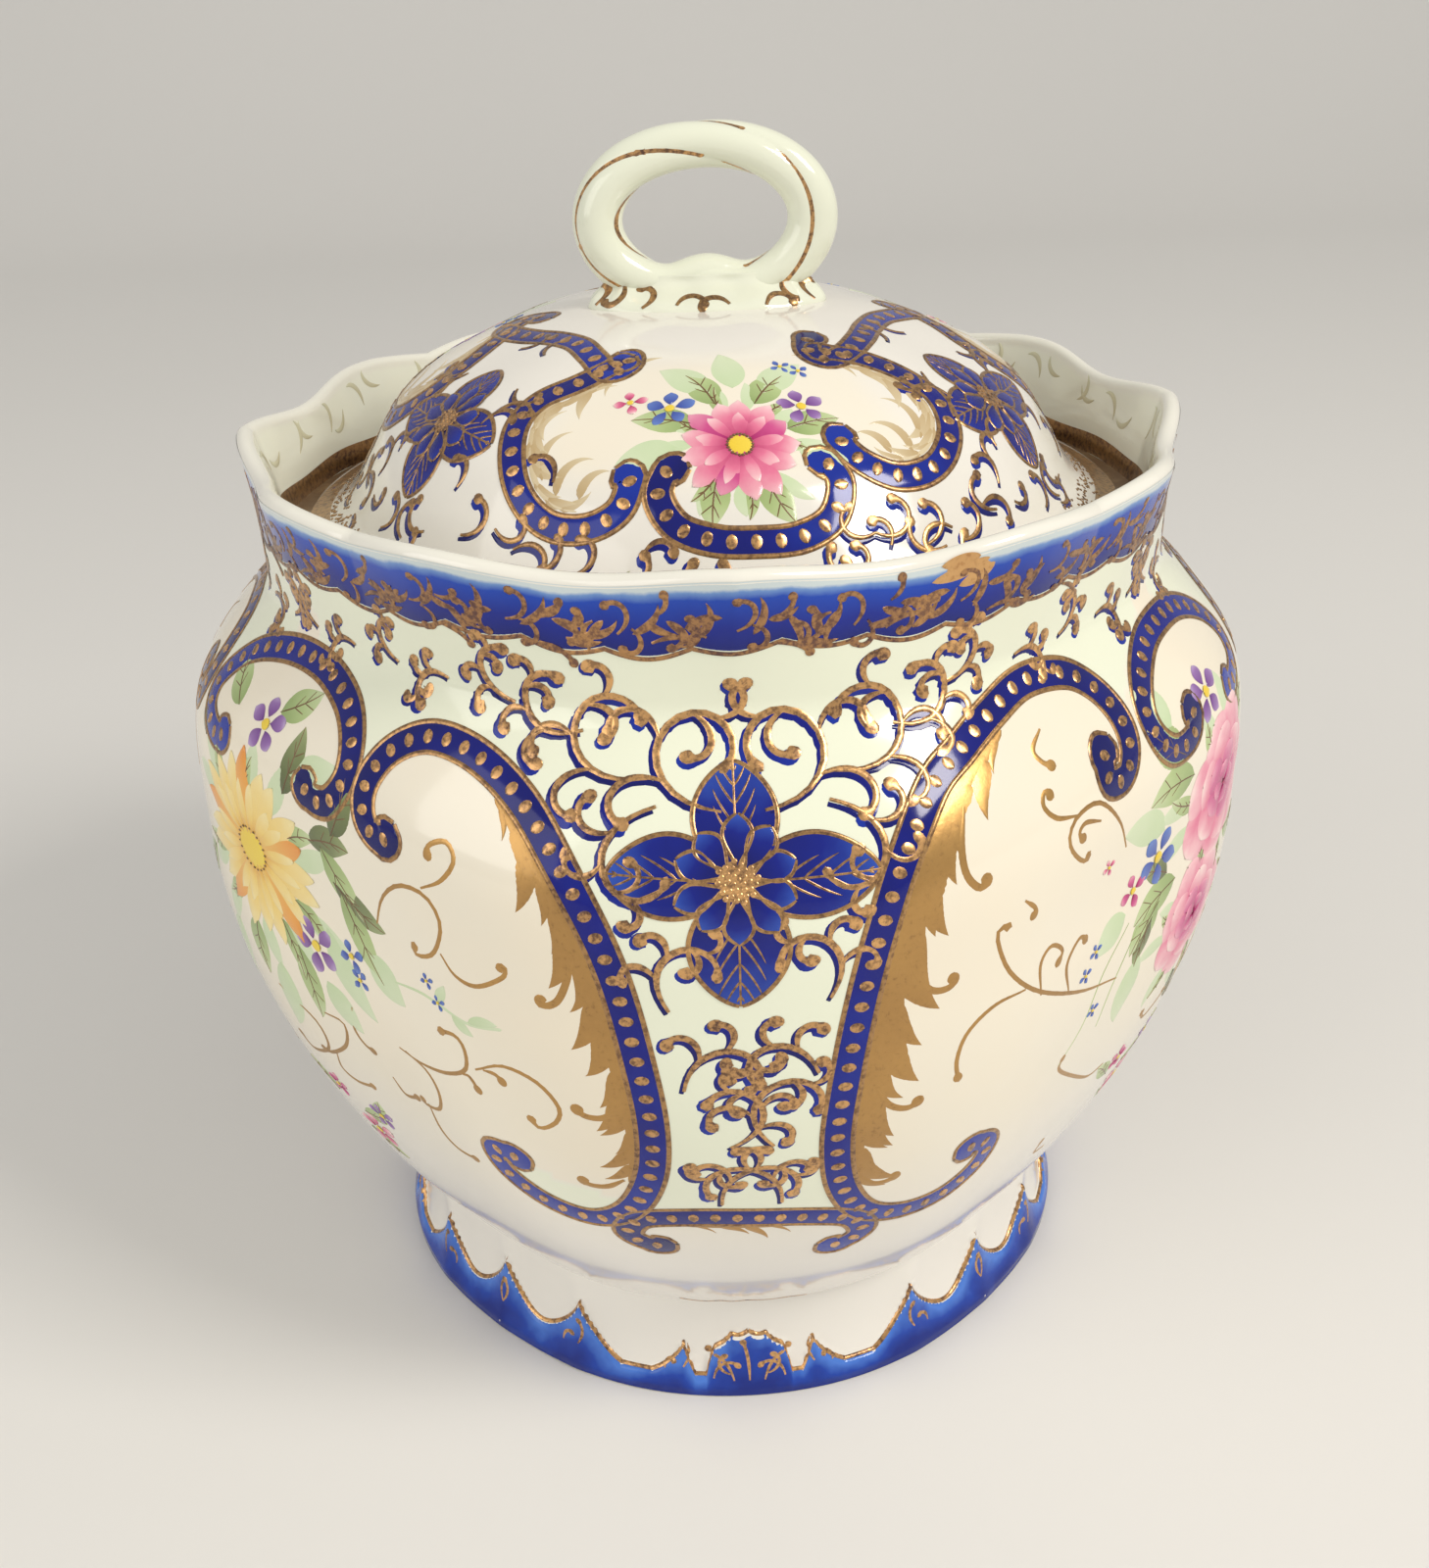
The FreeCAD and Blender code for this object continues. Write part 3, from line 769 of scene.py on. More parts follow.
def even(surface, line, gap):
    """A line set out again at even steps of about gap millimetres."""
    turn, up = line[None, :, 0], line[None, :, 1]
    across, rise = scales(surface, turn, up)
    step = np.hypot(np.diff(turn[0]) * across[0, 1:], np.diff(up[0]) * rise[0, 1:])
    far = np.concatenate([[0.0], np.cumsum(step)])
    marks = np.linspace(0.0, far[-1], max(4, int(round(far[-1] / gap)) + 1))
    return np.interp(marks, far, turn[0])[None], np.interp(marks, far, up[0])[None], marks


def band_strokes(surface, line, half=BAND_HALF, knob=1.35):
    """The blue band, its two gold edges and its gold drops, as three lots of ribbons."""
    turn, up, far = even(surface, line, 0.55)
    end = np.minimum(far, far[-1] - far)
    radius = half * knob
    knobs = radius * np.sqrt(np.clip(1.0 - ((end - radius) / radius) ** 2, 0.0, 1.0))
    wide = np.where(end < radius, knobs, np.maximum(half, knobs * (end < 2.0 * radius)))
    blue = ribbons(surface, turn, up, wide[None], 0.05, 0.10, 7)
    edges = []
    for side in (1.0, -1.0):
        line_turn, line_up = beside(surface, turn, up, side * (wide + 0.12))
        edges.append(ribbons(surface, line_turn, line_up, np.full(turn.shape, 0.34), 0.07, 0.13, 5))
    bead_turn, bead_up, _ = even(surface, line, 3.0)
    drops = oval_strokes(surface, bead_turn[0, 1:-1], bead_up[0, 1:-1],
                         drop_headings(surface, bead_turn, bead_up)[1:-1], 0.95, 0.72, 0.13)
    return blue, edges, drops


def drop_headings(surface, turn, up):
    """The direction square to a line, in degrees, at each of its points."""
    run, climb, *_ = headings(surface, turn, up)
    return np.degrees(np.arctan2(climb, run))[0] + 90.0


def oval_strokes(surface, turn, up, heading, half_length, half_width, lift, steps=8, sides=5):
    """Small ovals at many places, each pointing its own way."""
    turn, up = np.asarray(turn, float)[:, None], np.asarray(up, float)[:, None]
    across, rise = scales(surface, turn, up)
    share = np.cos(np.linspace(math.pi, 0.0, steps))[None, :]
    way = np.radians(np.asarray(heading, float) + np.zeros(len(turn)))[:, None]
    length = half_length * np.ones((len(turn), 1))
    turns = turn + share * length * np.cos(way) / across
    ups = up + share * length * np.sin(way) / rise
    half = half_width * np.sqrt(np.clip(1.0 - share ** 2, 0.002, 1.0)) * np.ones((len(turn), 1))
    return ribbons(surface, turns, ups, half, lift, 0.12, sides)


def moved(line, turn):
    """A line turned round the jar."""
    return line + np.array([turn, 0.0])


def paint_bands(surface, lines, **how):
    """The blue, the gold lines and the gold drops of several bands."""
    lots = [band_strokes(surface, line, **how) for line in lines]
    return [lot[0] for lot in lots], [edge for lot in lots for edge in lot[1]], [lot[2] for lot in lots]


THIRDS = (0.0, 120.0, 240.0)
jar_lines = [moved(line, third) for third in THIRDS for line in BANDS]
blues, golds, beads = paint_bands(wall, jar_lines + ARCHES + [moved(ARCHES[0], 240.0)])
gather("cobalt_bands", blues, cobalt)
gather("band_gold_lines", golds, line_gold)
gather("band_gold_drops", beads, raised_gold)

# %% [markdown]
# ## Scrolls in the celadon field
# The field between the bands is filled with curling sprigs. Each curl is a single stroke
# of the brush: it starts thin on its stem, swells, curls in and ends in a drop.
# A cobalt stroke was laid first and the gold over it, a little higher, so that blue
# shows along one side of each curl. A row is turn, height, heading, length and bend.

# %% Sprays: a main curl with commas that leave it
def sprays(stems, buds=(0.22, 0.42, 0.58, 0.72), lean=38.0, share=0.42, curl=205.0):
    """Rows of curls: the stems, and the commas that each stem sends out along its length.

    A comma starts on its stem, leans away from it and bends the other way. The third
    lies inside the stem's own curl and bends with it. They get shorter along the stem.
    """
    rows = np.asarray(stems, float)
    turn, up, gone, _ = curls(wall, rows)
    grown = [rows]
    for number, bud in enumerate(buds):
        at = int(np.searchsorted(gone, bud))
        away = np.sign(rows[:, 4]) * (1.0 if number == 2 else -1.0)
        heading = rows[:, 2] + rows[:, 4] * gone[at] ** 1.5
        size = rows[:, 3] * share * (1.15 - 0.7 * bud)
        grown.append(np.stack([turn[:, at], up[:, at], heading + lean * away, size, curl * away], 1))
    return np.vstack(grown)


# %% The stems of the fields, listed one by one about the middle of each
ABOVE_FLOWER = [(-2, 112, 170, 30, -320), (2, 112, 10, 30, 320), (-9, 115, 190, 26, -280),
                (9, 115, -10, 26, 280), (-16, 119, 200, 18, -250), (16, 118.5, -20, 18, 250),
                (-8, 112.5, 200, 22, 240), (8, 112.5, -20, 21, -240), (-24, 121, 170, 13, -210),
                (23, 121.5, 10, 12, 210)]
BELOW_FLOWER = [(-7, 88, 120, 18, -240), (7, 89, 60, 18, 240), (-6, 76, 80, 19, -240),
                (6, 78, 110, 17, 240), (2, 66, 130, 23, -260), (-2, 66, 30, 19, 240),
                (3, 54, 90, 21, 230), (-3, 54, 90, 21, -230)]
over_arches = [(side * (33.0 + 8.0 * step), 122.0, 90.0 - side * 70.0, 10.0, side * (-210.0, 210.0)[step % 2])
               for side in (-1.0, 1.0) for step in range(4)]
sprigs = repeated(sprays(ABOVE_FLOWER + BELOW_FLOWER + over_arches), THIRDS)
under = sprigs + np.array([-0.26, -0.42, 0.0, 0.0, 0.0])
gather("scroll_cobalt", [curl_strokes(wall, under, 0.70, 1.20, lift=0.02, crown=0.09)], cobalt)
gather("scroll_gold", [curl_strokes(wall, sprigs, 0.46, 0.92, lift=0.07, crown=0.14)], raised_gold)

# %% [markdown]
# ## Sprigs drawn through points
# Looser sprigs on the cream panels are drawn through a few points, like the bands. In
# their gold the brush was nearly dry, so they are thin and brown.

# %% Strokes through points
def drawn(surface, lines, stem, bulb, turns=(0.0,), steps=24, **how):
    """Ribbons through lists of points, repeated round the jar, each with a round end."""
    sets = [even(surface, through(line, 8), 0.25) for line in lines]
    share = 1.0 - (1.0 - np.linspace(0.0, 1.0, steps)) ** 1.35
    turn = np.stack([np.interp(share * far[-1], far, line_turn[0]) for line_turn, _, far in sets])
    up = np.stack([np.interp(share * far[-1], far, line_up[0]) for _, line_up, far in sets])
    length = np.array([[far[-1]] for _, _, far in sets])
    turn = np.vstack([turn + shift for shift in turns])
    up, length = np.tile(up, (len(turns), 1)), np.tile(length, (len(turns), 1))
    return ribbons(surface, turn, up, curl_halves(share, length, stem, bulb), **how)


PANEL_SPRIGS = [
    [(-31, 99), (-28.5, 101), (-27, 104), (-28, 106), (-30, 105), (-30, 103)],
    [(-39, 88.5), (-37, 94.5), (-34, 98), (-30.5, 98), (-29, 94.5), (-30.5, 89.5),
     (-33, 88), (-33, 90)],
    [(-29.5, 90), (-28, 87.5), (-25.5, 87), (-22.5, 89.5), (-22, 91), (-23, 91)],
    [(-39, 69), (-35.5, 68.5), (-31.5, 69.5), (-28.5, 72), (-28, 75.5), (-29, 77.5), (-31.5, 77)],
    [(-27, 73), (-23.5, 75.5), (-20, 74.5), (-18, 71), (-18.5, 68), (-20.5, 66), (-21.5, 68)],
    [(-38, 69), (-35, 67.5), (-34, 64), (-35, 60), (-37.5, 59), (-38, 60.5)],
    [(-37, 59.5), (-36.5, 54.5), (-34.5, 52), (-31, 52)],
    [(-29, 71), (-28, 71), (-27, 68.5)],
    [(-26, 73.5), (-24.5, 73.5), (-23.5, 72)],
    [(-53, 66.5), (-49.5, 66.5), (-51, 61.5), (-55.5, 57), (-58, 56.5)],
    [(-46.5, 71.5), (-47.5, 67), (-46.5, 64.5), (-44.5, 64)],
    [(-54.5, 57.5), (-55, 54), (-52.5, 53), (-48.5, 54.5)],
    [(-43, 60.5), (-41.5, 58), (-38.5, 59.5)],
    [(43, 94), (41, 99), (37.5, 103.5), (34, 103.5), (32.5, 101.5), (33, 99), (35, 96.5),
     (36, 97.5)],
    [(34, 103.5), (31, 104.5), (29.5, 106.5), (30, 108), (31, 107)],
    [(37.5, 101), (35, 102), (34, 101), (35, 99.5)],
    [(45.5, 71), (38, 74), (30, 79.5), (25.5, 85), (23.5, 90.5), (23.5, 93), (25, 92.5)],
    [(27.5, 81.5), (23.5, 81.5), (20.5, 79), (19.5, 75), (20, 71)],
    [(30, 79), (29.5, 84), (31, 86), (33, 84), (32, 82)],
    [(35, 76), (34, 81), (36, 84), (37.5, 82.5)],
    [(26.5, 95.5), (28, 93.5), (27.5, 92)],
    [(32.5, 114), (30.5, 112.5), (31, 111), (32.5, 110)],
    [(51.5, 50), (48, 50), (42, 55), (37.5, 60), (38, 62.5)],
    [(58, 66), (64, 63), (64, 57.5), (59, 54), (57, 56.5)],
    [(46, 36), (43, 37), (43.5, 40)]]
FRINGE_HOOKS = [
    [(-15.2, 95), (-16, 91), (-17, 88), (-18.3, 87), (-18.8, 88.5)],
    [(-11.5, 73.5), (-13.5, 70.5), (-15.5, 70.3), (-16.5, 72)],
    [(-12.5, 58.5), (-14.5, 56.5), (-16.5, 56.3), (-17.2, 57.8)],
    [(20.6, 109.5), (19.6, 105.5), (19.8, 102), (21.2, 99.8), (22.3, 101.3)],
    [(14, 93.5), (14.6, 90.5), (16.3, 87.3), (18.3, 87), (18.6, 89)],
    [(11.4, 74), (12.8, 70.5), (14.8, 69.2), (16.2, 70.6)],
    [(10.8, 57.5), (12.2, 55.2), (14, 55), (15, 56.4)]]
gather("panel_sprigs", [drawn(wall, PANEL_SPRIGS, 0.40, 0.85, THIRDS, lift=0.02, crown=0.08)], soft_gold)

# %% [markdown]
# ## Gold leafage beside the bands
# A solid gold fringe grows from the cream side of each long band, cut like an acanthus
# leaf. It is a tapering strip with pointed leaflets that all lean one way.

# %% Pointed petals and leaflets
def petal_width(gone, reach, fullness):
    """The sine of half a turn times the share gone to the reach, to the power of the fullness."""
    return np.sin(math.pi * np.clip(gone, 0.001, 0.999) ** reach) ** fullness


def petal_strokes(surface, rows, half, reach=1.0, fullness=0.8, steps=16, sides=5, **how):
    """Petals: curls that are pointed at both ends; a larger reach moves the widest place out."""
    turn, up, gone, _ = curls(surface, rows, steps)
    wide = petal_width(gone, reach, fullness)
    return ribbons(surface, turn, up, np.reshape(half, (-1, 1)) * wide[None, :], sides=sides, **how)


def fringe(surface, line, first, last, side, wide):
    """The gold fringe of a band between two shares of its length."""
    turn, up, far = even(surface, line, 0.6)
    keep = (far > first * far[-1]) & (far < last * far[-1])
    turn, up = turn[:, keep], up[:, keep]
    share = np.linspace(0.0, 1.0, turn.shape[1])
    swell = np.sin(math.pi * share ** 0.8) ** 0.6
    half = 0.5 * wide * (0.1 + 0.5 * swell)
    strip_turn, strip_up = beside(surface, turn, up, side * (BAND_HALF + 0.3 + half))
    strip = ribbons(surface, strip_turn, strip_up, half[None], 0.02, 0.08, 5)
    pick = np.arange(2, turn.shape[1] - 2, 6)
    way = drop_headings(surface, turn, up) - 90.0 + side * 20.0
    base_turn, base_up = beside(surface, turn, up, side * (BAND_HALF + 0.2 + 0.8 * half))
    size = wide * (0.45 + 1.1 * swell[pick]) * (1.0 + 0.30 * np.sin(2.4 * pick))
    rows = np.stack([base_turn[0, pick], base_up[0, pick], way[pick] + 9.0 * np.sin(1.7 * pick),
                     1.2 * size + 2.4, side * 42.0 + 0.0 * size], -1)
    return [strip, petal_strokes(surface, rows, 0.34 * size, 0.55, 0.9, 16, 5, lift=0.02, crown=0.08)]


leafage = []
for third in THIRDS:
    leafage += fringe(wall, moved(BANDS[0], third), 0.27, 0.72, -1.0, 3.1)
    leafage += fringe(wall, moved(BANDS[1], third), 0.28, 0.755, 1.0, 4.3)
    leafage += fringe(wall, moved(BANDS[2], third), 0.34, 0.62, -1.0, 1.2)
leafage.append(drawn(wall, FRINGE_HOOKS, 0.55, 1.0, THIRDS, lift=0.02, crown=0.10))
gather("acanthus_fringe", leafage, soft_gold)

# %% [markdown]
# ## The cobalt flower
# In the middle of each scroll field sits a dark blue flower: four veined leaves in a
# cross, ten short petals over them, and a stippled gold eye. Gold draws their edges.

# %% Leaves with outlines and veins
def leaf(surface, row, half, veins=5, edge=0.30):
    """One leaf's blade, and its gold: two edges, a rib and slanting veins."""
    rows = np.array([row], float)
    turn, up, gone, _ = curls(surface, rows, 26)
    wide = half * petal_width(gone, 1.05, 0.62)
    blade = ribbons(surface, turn, up, wide[None], 0.05, 0.10, 9)
    left, right = beside(surface, turn, up, wide), beside(surface, turn, up, -wide)
    turns, ups = np.vstack([left[0], right[0], turn]), np.vstack([left[1], right[1], up])
    line_halves = edge * np.array([[1.0], [1.0], [0.6]]) * np.ones(turns.shape)
    gold_lines = [ribbons(surface, turns, ups, line_halves, 0.08, 0.13, 5)]
    at = np.linspace(6, 21, veins).astype(int)
    way = np.degrees(np.arctan2(*headings(surface, turn, up)[1::-1]))[0]
    for side in (1.0, -1.0):
        vein = np.stack([turn[0, at], up[0, at], way[at] + side * 36.0, 1.05 * wide[at + 3],
                         -side * 16.0 + 0.0 * at], -1)
        gold_lines.append(petal_strokes(surface, vein, 0.20, 0.5, 0.4, 10, 5, lift=0.09, crown=0.10))
    return blade, gold_lines


def around(surface, centre, reach, angle):
    """Places about a centre, at a reach in millimetres and an angle in radians."""
    across, rise = scales(surface, np.array(centre[0]), np.array(centre[1]))
    return centre[0] + reach * np.cos(angle) / across, centre[1] + reach * np.sin(angle) / rise


def disc(surface, centre, radius, lift, steps=14, sides=9):
    """One round dab of paint."""
    return oval_strokes(surface, [centre[0]], [centre[1]], 0.0, radius, radius, lift, steps, sides)


def ring_rows(surface, centre, inner, outer, count, spin=0.0, bend=0.0, uneven=0.07):
    """Rows for petals set round a centre, from an inner to an outer distance."""
    step = np.arange(count)
    angle = np.radians(spin + 360.0 * step / count + 40.0 * uneven * np.sin(2.7 * step))
    length = (outer - inner) * (1.0 + uneven * np.sin(4.1 * step + spin))
    return np.stack([*around(surface, centre, inner, angle), np.degrees(angle), length,
                     bend + 0.0 * length], -1)


GOLDEN_ANGLE = 2.39996


def dots(surface, centre, radius, size, count, lift=0.1):
    """Small round dots spread over a disc, each turned on by the golden angle."""
    step = np.arange(count) + 0.5
    turn, up = around(surface, centre, radius * np.sqrt(step / count), step * GOLDEN_ANGLE)
    return oval_strokes(surface, turn, up, 0.0, size, size, lift, 6, 5)


def blue_flower(surface, centre, leaves, half, petals=10, size=1.0):
    """A cobalt flower: leaves given by heading and length, and ten petals over them."""
    blades, shown = [], []
    for heading, length, width in leaves:
        blade, lines = leaf(surface, (*centre, heading, length, 0.0), width * half)
        blades.append(blade)
        shown += lines
    rows = ring_rows(surface, centre, 1.8 * size, 7.6 * size, petals, 18.0)
    blades.append(petal_strokes(surface, rows, 1.75 * size, 1.5, 0.7, lift=0.11, crown=0.16))
    turn, up, gone, _ = curls(surface, rows, 20)
    wide = 1.8 * size * petal_width(gone, 1.5, 0.7)
    for side in (1.0, -1.0):
        turns, ups = beside(surface, turn, up, side * np.broadcast_to(wide, turn.shape))
        shown.append(ribbons(surface, turns, ups, np.full(turn.shape, 0.24 * size), 0.14, 0.12, 5))
    eye = [disc(surface, centre, 2.5 * size, 0.16), dots(surface, centre, 2.6 * size, 0.36 * size, 34, 0.24)]
    return blades, shown, eye


FLOWER_TURN, FLOWER_HEIGHT = -0.8, 105.0
FIELD_LEAVES = [(90.0, 14.5, 0.95), (177.0, 15.6, 0.95), (0.0, 17.2, 0.95), (270.0, 16.4, 1.15)]
blues, golds, eyes = [], [], []
for third in THIRDS:
    blades, lines, eye = blue_flower(wall, (third + FLOWER_TURN, FLOWER_HEIGHT), FIELD_LEAVES, 5.3)
    blues += blades
    golds += lines
    eyes += eye
gather("cobalt_flowers", blues, cobalt_petal)
gather("flower_gold_lines", golds, line_gold)
gather("flower_gold_eyes", eyes, raised_gold)

# %% [markdown]
# ## The painted bouquets
# Each cream panel holds a loose bouquet: a large yellow daisy on the left of the front,
# pink peonies on its right. Petals are single strokes that go from a dark
# root to a pale tip. Leaves lie under them, in a thin wash of green.

# %% Enamel colours
ENAMELS = {
    "yellow": enamel("yellow_enamel", [(0.0, (0.72, 0.36, 0.05)), (0.35, (0.86, 0.62, 0.18)),
                                       (1.0, (0.90, 0.78, 0.42))]),
    "orange": enamel("orange_enamel", [(0.0, (0.80, 0.50, 0.12)), (0.6, (0.82, 0.38, 0.08)),
                                       (1.0, (0.78, 0.30, 0.07))]),
    "pink": enamel("pink_enamel", [(0.0, (0.46, 0.03, 0.14)), (0.45, (0.74, 0.18, 0.31)),
                                   (0.8, (0.87, 0.48, 0.54)), (1.0, (0.92, 0.70, 0.68))], spread=0.6),
    "rose": enamel("rose_enamel", [(0.0, (0.36, 0.01, 0.12)), (0.5, (0.60, 0.08, 0.26)),
                                   (1.0, (0.82, 0.36, 0.48))], spread=0.6),
    "violet": enamel("violet_enamel", [(0.0, (0.16, 0.05, 0.26)), (0.6, (0.30, 0.16, 0.42)),
                                       (1.0, (0.50, 0.38, 0.62))]),
    "blue_wash": enamel("blue_enamel", [(0.0, (0.04, 0.07, 0.36)), (1.0, (0.14, 0.24, 0.60))]),
    "leaf_green": enamel("leaf_green", [(0.0, (0.28, 0.38, 0.14)), (0.5, (0.44, 0.55, 0.25)),
                                        (1.0, (0.60, 0.68, 0.42))]),
    "dark_green": enamel("dark_green", [(0.0, (0.10, 0.12, 0.05)), (0.5, (0.20, 0.24, 0.10)),
                                        (1.0, (0.36, 0.42, 0.20))]),
    "pale_green": enamel("pale_green", [(0.0, (0.56, 0.68, 0.42)), (1.0, (0.68, 0.76, 0.54))], 0.14, 0.6),
    "yellow_eye": enamel("yellow_eye", [(0.0, (0.80, 0.56, 0.04)), (1.0, (0.86, 0.66, 0.08))]),
    "brown": enamel("brown_line", [(0.0, (0.13, 0.07, 0.03)), (1.0, (0.24, 0.14, 0.06))])}
paint_lots = {}


def brush(colour, strokes):
    """Keep strokes by the colour they are painted in, until all are gathered."""
    paint_lots.setdefault(colour, []).append(strokes)


def daisy(surface, centre, outer, colours, petals=20, half=1.9, eye=2.6, spin=0.0):
    """A daisy: an outer ring of petals in one colour, some in another, and a dotted eye."""
    rows = ring_rows(surface, centre, 0.55 * eye, outer, petals, spin)
    warm = np.arange(petals) % 4 == 1
    brush(colours[0], petal_strokes(surface, rows[~warm], half, 1.3, 0.75, lift=0.05, crown=0.18))
    brush(colours[1], petal_strokes(surface, rows[warm], half, 1.3, 0.75, lift=0.06, crown=0.19))
    short = ring_rows(surface, centre, 0.5 * eye, 0.72 * outer, petals - 4, spin + 9.0)
    brush(colours[0], petal_strokes(surface, short, 0.75 * half, 1.4, 0.75, lift=0.10, crown=0.18))
    brush("yellow_eye", disc(surface, centre, eye, 0.2))
    turn, up = around(surface, centre, 1.05 * eye, np.arange(22) * math.tau / 22)
    brush("brown", oval_strokes(surface, turn, up, 0.0, 0.2, 0.2, 0.26, 6, 5))


def small_flower(surface, centre, outer, colour, petals=5, spin=20.0):
    """A little flower of round petals with a yellow eye."""
    rows = ring_rows(surface, centre, 0.25 * outer, outer, petals, spin)
    brush(colour, petal_strokes(surface, rows, 0.30 * outer, 1.3, 0.6, 14, 7, lift=0.05, crown=0.14))
    brush("yellow_eye", disc(surface, centre, 0.2 * outer, 0.14, 8, 5))


def little_flowers(surface, at, *rows):
    """Little flowers about a turn; a row holds turn, height, reach, colour, petals and spin."""
    for turn, *rest in rows:
        small_flower(surface, (at + turn, rest[0]), *rest[1:])


def leaves(surface, at, rows, half, colour, veined=True):
    """Leaves in one colour about a turn, each with a darker rib and a few veins."""
    rows = repeated(rows, (at,))
    brush(colour, petal_strokes(surface, rows, half, 0.85, 0.8, 18, 7, lift=0.03, crown=0.09))
    if not veined:
        return
    brush("brown", petal_strokes(surface, rows, 0.16, 0.6, 0.3, 12, 5, lift=0.08, crown=0.08))
    turn, up, *_ = curls(surface, rows, 20)
    nothing = 0.0 * rows[:, 0]
    for place, side in ((5, 1.0), (5, -1.0), (9, 1.0), (9, -1.0)):
        vein = np.stack([turn[:, place], up[:, place], rows[:, 2] + side * 38.0,
                         0.9 * half + nothing, nothing], -1)
        brush("brown", petal_strokes(surface, vein, 0.11, 0.6, 0.3, 8, 5, lift=0.08, crown=0.07))


# Reach, petals, width and colour of a peony's rings, from the outside in
PEONY_RINGS = ((1.0, 7, 0.42, "pink"), (0.74, 6, 0.36, "pink"),
               (0.5, 5, 0.26, "rose"), (0.28, 4, 0.15, "rose"))


def peony(surface, centre, outer, spin=0.0):
    """A peony: rings of broad petals, paler outside and darker at the heart."""
    for ring, (reach, count, wide, colour) in enumerate(PEONY_RINGS):
        rows = ring_rows(surface, centre, 0.04 * outer, reach * outer, count, spin + 31.0 * ring, 12.0)
        brush(colour, petal_strokes(surface, rows, wide * outer, 1.6, 0.6, 20, 9,
                                    lift=0.04 + 0.07 * ring, crown=0.16))


def foliage(surface, centre, outer, count=9, spin=0.0):
    """Leaves that look out from under a large flower: a pale ring and a darker one."""
    rows = ring_rows(surface, centre, 0.72 * outer, 1.42 * outer, count, spin, 25.0, 0.2)
    brush("pale_green", petal_strokes(surface, rows, 0.17 * outer, 1.0, 0.8, 18, 7, lift=0.01, crown=0.07))
    rows = ring_rows(surface, centre, 0.7 * outer, 1.28 * outer, count - 3, spin + 17.0, -30.0, 0.25)
    leaves(surface, 0.0, rows, 0.12 * outer, "leaf_green")


# %% Left bouquet: the yellow daisy
def daisy_bouquet(at, colours=("yellow", "orange"), little="violet"):
    """The bouquet of a large daisy, small flowers, leaves and a trailing spray."""
    leaves(wall, at, [(16, 100.5, 60, 9, 40), (8, 103, 70, 10, 30), (15, 93, -35, 11, 30),
                      (12, 98, 20, 9, -30), (-10, 103, 120, 10, -30)], 2.3, "dark_green")
    leaves(wall, at, [(14, 98, -60, 12, 20), (16, 92, -70, 14, 20), (-2, 78, 250, 11, 30),
                      (6, 78, -80, 13, -20), (-12, 84, 220, 12, 30), (4, 112, 30, 8, 20),
                      (-4, 110, 140, 9, -20)], 2.5, "leaf_green")
    leaves(wall, at, [(12, 84, -70, 15, 30), (1, 72, -95, 14, -20), (-8, 74, 240, 13, 30),
                      (9, 106, 10, 10, 30), (19, 84, -50, 9, 20), (10, 74, -60, 9, 20)],
           2.8, "pale_green", False)
    foliage(wall, (at + 0.5, 90.0), 14.0, 10, 15.0)
    daisy(wall, (at + 0.5, 91.0), 14.6, colours, 20, 2.0, 3.2)
    little_flowers(wall, at, (2.5, 110.0, 4.2, little), (9.5, 79.8, 4.6, "violet", 5, 40.0),
                             (15.8, 81.5, 2.6, "blue_wash", 4), (16.6, 78.0, 1.9, "blue_wash", 4, 50.0))
    trail = [(21.0, 81.0), (26.5, 82.0), (29.5, 81.5), (33.0, 80.5), (37.0, 81.5)]
    brush("pale_green", drawn(wall, [moved(trail, at)], 0.3, 0.3, lift=0.02, crown=0.07))
    leaves(wall, at, [(31, 80.8, -40, 4, 20), (33, 80.8, 20, 5, -20), (29, 82, 50, 3.5, 20)],
           0.9, "pale_green", False)
    little_flowers(wall, at, (28.0, 84.5, 1.2, "blue_wash", 4), (29.3, 81.8, 1.2, "blue_wash", 4))


def low_spray(at, colour="pink"):
    """The small spray low in a panel."""
    leaves(wall, at, [(4, 44, 10, 8, 30), (2, 39, -40, 8, 30), (8, 45, 60, 6, 20), (-1, 45, 130, 7, 20)],
           1.7, "leaf_green")
    little_flowers(wall, at, (5.0, 40.5, 4.0, colour), (9.0, 46.5, 2.8, "violet"),
                             (0.5, 47.5, 2.4, "rose", 5, 10.0))


